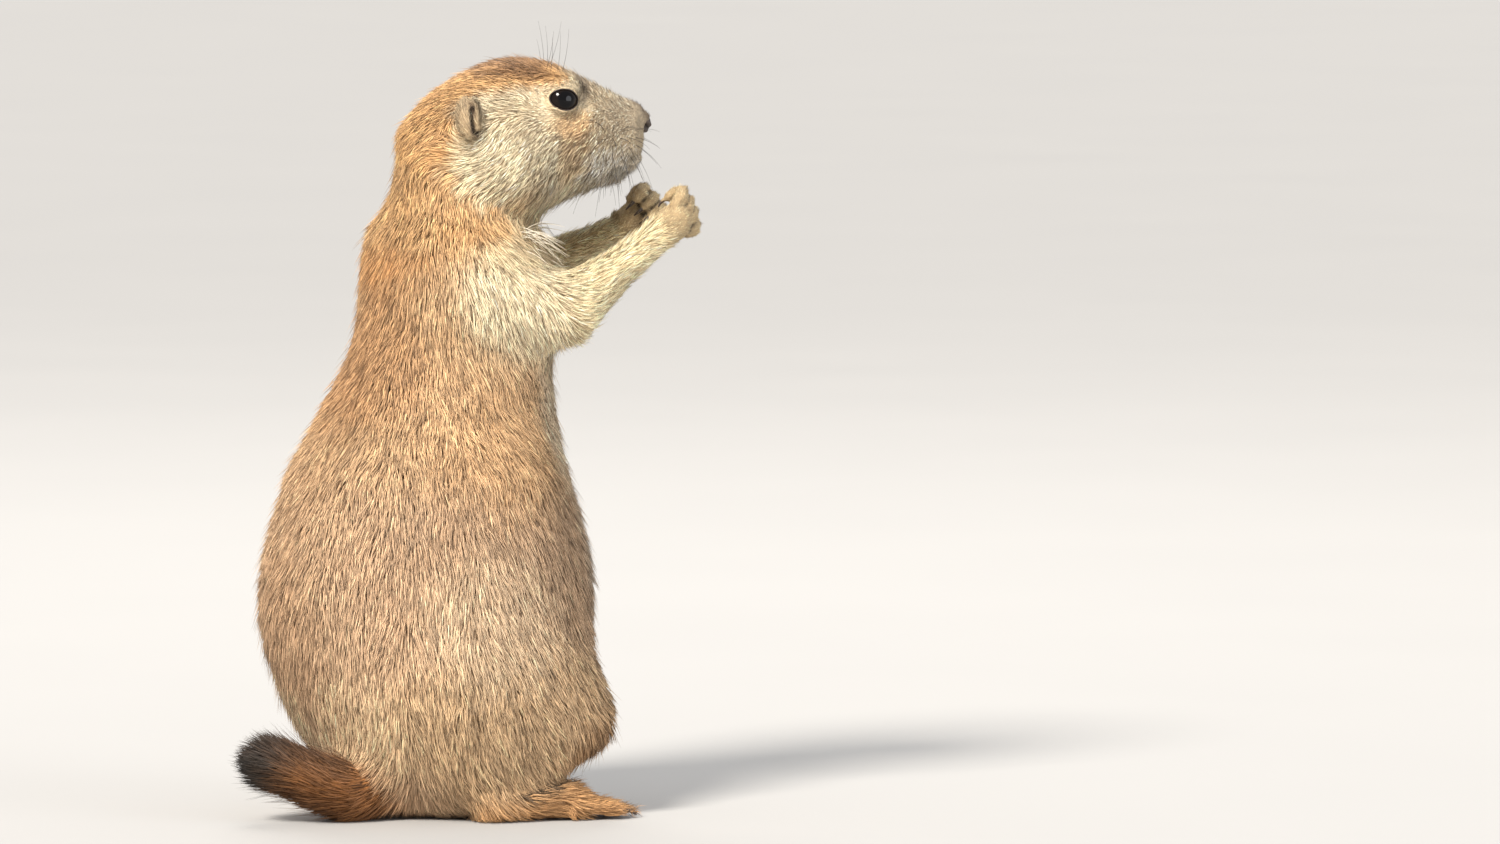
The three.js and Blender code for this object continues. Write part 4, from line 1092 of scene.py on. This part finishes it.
def loopTube(line, size, count=8):  # a closed ring of tube
    ahead = unit(np.roll(line, -1, axis=0) - np.roll(line, 1, axis=0))
    side = layOn(unit(line - line.mean(axis=0)), ahead)
    places = (line[:, None] + circles(side, np.cross(ahead, side), count) * size).reshape(-1, 3)
    i, n = np.meshgrid(np.arange(len(line)), np.arange(count), indexing="ij")
    j, m = (i + 1) % len(line), (n + 1) % count
    quads = np.stack([i * count + n, i * count + m, j * count + m, j * count + n], -1).reshape(-1, 4)
    return places, quads


def makeEye(name, side):
    centre, look, level, _ = eyeAxes(side)
    ball, faces = ballArrays(40, 56)
    angle = np.arccos(np.clip(ball[:, 0], -1, 1))
    size = eyeSpot["radius"] - 0.05 + eyeLook["swell"] * (1 - smooth01(angle, *eyeLook["swellSpan"]))
    own = np.stack([look, level, np.cross(look, level)])
    eye = makeObject("eyeball_" + name, fromHead(centre + (ball @ own) * size[:, None]), faces)
    colours = linear(eyeLook["pupilColour"])
    for edge, colour in (("pupil", "irisColour"), ("iris", "whiteColour")):
        beyond = smooth01(angle, eyeLook[edge] - eyeLook["soft"], eyeLook[edge] + eyeLook["soft"])
        colours = mixed(colours, linear(eyeLook[colour]), beyond)
    pieces[dressed(eye, eyeFinish, colours)] = ("eye", ["eye_" + name])


def makeLids(name, side):
    centre, look, level, high = eyeAxes(side)
    turn = np.linspace(0, 2 * math.pi, 96, endpoint=False)
    a, b = np.cos(turn), np.sin(turn)
    arc = (eyeLook["rimAt"] / almond(a, b) / eyeSpot["radius"])[:, None]
    way = look * np.cos(arc) + (level * a[:, None] + high * b[:, None]) * np.sin(arc)
    places, quads = loopTube(centre + way * (eyeSpot["radius"] + eyeLook["rimOut"]), eyeLook["rimSize"])
    lids = makeObject("lid_rim_" + name, fromHead(places), quads)
    pieces[dressed(lids, lidFinish)] = ("eye", [])


for name, side in sides.items():
    makeEye(name, side)
    makeLids(name, side)
print("eyes made")


# The nose pad, with two comma-shaped nostrils and the cleft below

def makeNose():
    ball, faces = ballArrays(72, 96)
    local = pitched(ball * noseBuild["size"], -noseBuild["pitch"]) + noseBuild["at"]
    outward = pointNormals(local, faces)
    away = awayFromPair(local, noseBuild["nostril"], 12)
    hole = np.exp(-((away / noseBuild["hole"]) ** 2))
    wing = np.exp(-(((away - noseBuild["wingAway"]) / noseBuild["wingWidth"]) ** 2)) * noseBuild["wing"]
    low, high = noseBuild["cleftBelow"]
    cleft = np.exp(-((local[:, 1] / noseBuild["cleftHalf"]) ** 2)) * smooth01(-local[:, 2], -high, -low)
    cleft = cleft * noseBuild["cleft"]
    local = local + outward * (wing - hole * noseBuild["deep"] - cleft)[:, None]
    # painted shade in the nostrils and the cleft
    colours = mixed(linear(noseBuild["colour"]), linear(noseBuild["inside"]), np.clip(hole + cleft, 0, 1))
    nose = makeObject("nose_pad", fromHead(local), faces)
    pieces[dressed(nose, noseFinish, colours)] = ("nose", ["nose"])


makeNose()
print("nose made")


# Claws and whiskers: tapered sweeps along lines, by Geometry Nodes

def sweepTree():
    tree = bpy.data.node_groups.new("taperedSweep", "GeometryNodeTree")
    socket(tree, "Geometry", "NodeSocketGeometry")
    socket(tree, "Root Size", "NodeSocketFloat", value=0.001)
    socket(tree, "Tip Size", "NodeSocketFloat", value=0.0002)
    socket(tree, "Round", "NodeSocketInt", value=6)
    socket(tree, "Material", "NodeSocketMaterial")
    socket(tree, "Geometry", "NodeSocketGeometry", "OUTPUT")
    given = addNode(tree, "NodeGroupInput").outputs
    lines = addNode(tree, "GeometryNodeMeshToCurve", {"Mesh": given["Geometry"]})
    place = addNode(tree, "GeometryNodeSplineParameter").outputs["Factor"]
    sizes = {"Value": place, "To Min": given["Root Size"], "To Max": given["Tip Size"]}
    taper = addNode(tree, "ShaderNodeMapRange", sizes).outputs["Result"]
    own = addNode(tree, "GeometryNodeInputNamedAttribute", {"Name": "girth"}, data_type="FLOAT")
    size = addNode(tree, "ShaderNodeMath", {0: taper, 1: own.outputs["Attribute"]}, operation="MULTIPLY")
    ring = addNode(tree, "GeometryNodeCurvePrimitiveCircle", {"Radius": 1.0, "Resolution": given["Round"]})
    sweep = addNode(tree, "GeometryNodeCurveToMesh", {
        "Curve": lines.outputs["Curve"], "Profile Curve": ring.outputs["Curve"],
        "Scale": size.outputs[0], "Fill Caps": True,
    })
    whole = addNode(tree, "GeometryNodeRealizeInstances", {"Geometry": sweep.outputs["Mesh"]}).outputs[0]
    paint = addNode(tree, "GeometryNodeSetMaterial", {"Geometry": whole, "Material": given["Material"]})
    addNode(tree, "NodeGroupOutput", {"Geometry": paint.outputs["Geometry"]})
    return tree


taperedSweep = sweepTree()


def swept(name, lines, girths, values, material):  # root and tip radius in mm, and sides, from the values
    edges, start = [], 0
    for line in lines:
        edges += [(start + i, start + i + 1) for i in range(len(line) - 1)]
        start += len(line)
    mesh = bpy.data.meshes.new(name)
    mesh.from_pydata(((np.concatenate(lines) + partShift) * 0.001).tolist(), edges, [])
    girth = mesh.attributes.new("girth", "FLOAT", "POINT")
    girth.data.foreach_set("value", np.repeat(np.array(girths, float), [len(line) for line in lines]))
    made = bpy.data.objects.new(name, mesh)
    scene.collection.objects.link(made)
    modifier = made.modifiers.new("sweep", "NODES")
    modifier.node_group = taperedSweep
    given = {"Root Size": values["root"] * 0.001, "Tip Size": values["tip"] * 0.001,
             "Round": values["round"], "Material": material}
    for item in taperedSweep.interface.items_tree:
        if item.name in given:
            modifier[item.identifier] = given[item.name]
    baked(made)
    made.data.polygons.foreach_set("use_smooth", np.ones(len(made.data.polygons), bool))
    return made


foreClaws = {"root": 0.9, "tip": 0.22, "round": 10, "apart": 4.3, "reach": 7.4,
             "curlWay": (-0.15, -0.9, 0.12),
             "stops": [(3, 6.2, 0.9), (5.6, 7, 0.84), (7.8, 6.2, 0.78)]}  # back, inward, share of the spread
hindClaws = {"root": 1.35, "tip": 0.22, "round": 10, "apart": 3.9, "splay": 0.55,
             "stops": [(0.5, 1.2, 3.4), (4.6, 1.6, 3.1), (7.8, 1.9, 1.2)]}  # ahead, share of the splay, up


def fingerClaws(arm, side):
    wrist, palm = np.array(arm["wrist"], float), np.array(arm["palm"], float)
    forward = unit(palm - wrist)
    inward = np.array(foreClaws["curlWay"]) * [1, side, 1]
    inward = unit(inward - forward * (inward @ forward))
    up = np.cross(forward, inward) * side
    lines = []
    for i in range(4):
        spread = (i - 1.5) * foreClaws["apart"]
        reach = foreClaws["reach"] - 0.5 * (i - 1.3) ** 2
        stops = []
        for back, deep, share in foreClaws["stops"]:
            stops.append(palm + (reach - back) * forward + deep * inward + share * spread * up)
        lines.append(along(stops, 7))
    return lines


def toeClaws(root):
    lines = []
    for across in range(-2, 3):
        x, y = root[0] - 0.9 * across**2, root[1] + across * hindClaws["apart"]
        splay = across * hindClaws["splay"]
        lines.append(along([[x + ahead, y + splay * aside, z] for ahead, aside, z in hindClaws["stops"]], 7))
    return lines


for name, side in sides.items():
    fore, hind = fingerClaws(arms[name], side), toeClaws(toeRoots[name])
    pieces[swept("claws_fore_" + name, fore, [1] * len(fore), foreClaws, clawFinish)] = ("nose", [])
    pieces[swept("claws_hind_" + name, hind, [1] * len(hind), hindClaws, clawFinish)] = ("nose", [])

whiskers = {
    "rows": 4, "perRow": 5, "long": (13, 26), "root": 0.11, "tip": 0.03, "round": 5,
    "bend": (-0.08, 0, -0.22),
    "pad": (57.5, 8.5, 235), "rowApart": 2.5, "alongApart": 2.7, "seed": 4,
}
whiskerTufts = [  # root in the head's frame, way, count, length, spread
    ((31, 11, 256.5), (0.25, 0.35, 1), 4, 19, 0.2),  # brow
    ((49, 3, 217.5), (0.2, 0.15, -1), 4, 9, 0.3),  # chin
    ((22, 24, 228), (-0.1, 0.7, -0.6), 2, 15, 0.2),  # cheek
]
fringe = {"count": 150, "at": (26, 20, 198), "spread": (4, 4, 4), "top": 202, "way": (1, 0.45, -0.1),
          "fan": 0.38, "long": (8, 17), "bend": (0, 0, -0.3),
          "root": 0.17, "tip": 0.03, "round": 4, "seed": 8}


def planted(tree, near, way, bend, long):  # a hair's line, from the skin that is nearest to a place
    way = unit(way)
    t = np.linspace(0, 1, 8)[:, None]
    return np.array(tree.find_nearest(near)[0]) - way * 0.6 + way * t * long + np.array(bend) * t**2 * long


def whiskerLines(side):
    own = np.random.default_rng(whiskers["seed"] + side)
    tree = BVHTree.FromPolygons(toHead(points).tolist(), triangles.tolist())
    lines, girths = [], []
    padX, padY, padZ = whiskers["pad"]
    for row in range(whiskers["rows"]):
        for k in range(whiskers["perRow"]):
            near = [padX - k * whiskers["alongApart"], side * (padY + k), padZ - row * whiskers["rowApart"]]
            way = unit([0.95 - 0.3 * k, side * 0.8, 0.3 - 0.42 * row]) + own.normal(0, 0.09, 3)
            long = np.interp(k, [0, whiskers["perRow"] - 1], whiskers["long"]) * own.uniform(0.8, 1.1)
            lines.append(fromHead(planted(tree, near, way, whiskers["bend"], long)))
            girths.append(own.uniform(0.75, 1.1))
    for root, way, count, long, spread in whiskerTufts:
        for _ in range(count):
            near = np.array(root) * [1, side, 1] + own.normal(0, 2.2, 3)
            aim = unit(np.array(way) * [1, side, 1]) + own.normal(0, spread, 3)
            lines.append(fromHead(planted(tree, near, aim, (-0.12, 0, 0), long * own.uniform(0.6, 1.1))))
            girths.append(0.7)
    return lines, girths


def fringeLines():
    own = np.random.default_rng(fringe["seed"])
    tree = BVHTree.FromPolygons(points.tolist(), triangles.tolist())
    lines = []
    for side in [*sides.values()] * (fringe["count"] // 2):
        near = np.array(fringe["at"]) * [1, side, 1] + own.normal(0, 1, 3) * fringe["spread"]
        near[2] = min(near[2], fringe["top"])
        way = unit(np.array(fringe["way"]) * [1, side, 1]) + own.normal(0, fringe["fan"], 3)
        lines.append(planted(tree, near, way, fringe["bend"], own.uniform(*fringe["long"])))
    return lines


for name, side in sides.items():
    lines, girths = whiskerLines(side)
    pieces[swept("whiskers_" + name, lines, girths, whiskers, whiskerFinish)] = ("coat_face", [])
lines = fringeLines()
made = swept("breast_fringe", lines, [1] * len(lines), fringe, fringeFinish)
pieces[made] = ("coat_chest", [])
print("claws, whiskers and fringe made")


# Everything rides on the one body

for piece, (slotName, stoodFor) in pieces.items():
    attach(piece, "root")
    if stoodFor:
        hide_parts(*stoodFor)


# Floor, light and camera

studio = {"floor": (180, 178, 175), "floorSize": 80.0, "sky": (0.84, 0.86, 0.90), "skyStrength": 0.72,
          "aim": (0, 0, 0.14)}  # where the lamps point, in metres
lamps = {
    "key": {"kind": "SUN", "azimuth": -58, "elevation": 38, "away": 1.7, "size": 0.29, "power": 5.4,
            "colour": (1, 0.95, 0.88)},  # size in radians
    "fill": {"kind": "AREA", "azimuth": 30, "elevation": 6, "away": 2.0, "size": 1.4, "power": 20,
             "colour": (0.93, 0.96, 1)},
    "rear": {"kind": "AREA", "azimuth": 160, "elevation": 50, "away": 2.0, "size": 1.0, "power": 16,
             "colour": (1, 0.97, 0.93)},
}
shot = {"azimuth": -28, "elevation": 4, "lens": 300, "sensor": 36, "pixelsPerMm": 2.9, "wide": 1500,
        "right": 110.3, "up": 134.5}  # mm from the animal's origin to the middle of the picture


def backWay(values):  # from the object to a camera or lamp
    a, e = math.radians(values["azimuth"]), math.radians(values["elevation"])
    return np.array([math.sin(a) * math.cos(e), -math.cos(a) * math.cos(e), math.sin(e)])


def placed(name, data, aim, back, away):  # a lamp or camera that looks at a place
    holder = bpy.data.objects.new(name, data)
    holder.location = aim + back * away
    holder.rotation_euler = Vector(-back).to_track_quat("-Z", "Y").to_euler()
    scene.collection.objects.link(holder)
    return holder


def makeFloor():
    half = studio["floorSize"] * 500
    corners = np.array([[-half, -half, 0], [half, -half, 0], [half, half, 0], [-half, half, 0]])
    floor = makeObject("floor", corners - partShift, [[0, 1, 2, 3]], smooth=False)
    dressed(floor, finish("floor paint", studio["floor"], scale=6.0, amount=0.03, dull=0.8))


def makeLamp(name, values):
    lamp = bpy.data.lights.new(name, values["kind"])
    if values["kind"] == "SUN":
        lamp.angle = values["size"]
    else:
        lamp.shape = "DISK"
        lamp.size = values["size"]
    lamp.energy = values["power"]
    lamp.color = values["colour"]
    placed(name, lamp, np.array(studio["aim"]), backWay(values), values["away"])


def makeCamera():
    back = backWay(shot)
    a = math.radians(shot["azimuth"])
    right = np.array([math.cos(a), math.sin(a), 0])
    up = np.cross(back, right)
    aim = (partShift + right * shot["right"] + up * shot["up"]) * 0.001
    away = shot["wide"] / shot["pixelsPerMm"] * 0.001 * shot["lens"] / shot["sensor"]
    camera = bpy.data.cameras.new("camera")
    camera.lens = shot["lens"]
    camera.sensor_width = shot["sensor"]
    camera.clip_end = 200
    scene.camera = placed("camera", camera, aim, back, away)


makeFloor()
for name, values in lamps.items():
    makeLamp(name, values)
makeCamera()
world = bpy.data.worlds.new("studio")
world.use_nodes = True
world.node_tree.nodes["Background"].inputs["Color"].default_value = (*studio["sky"], 1)
world.node_tree.nodes["Background"].inputs["Strength"].default_value = studio["skyStrength"]
scene.world = world
scene.view_settings.view_transform = "Standard"
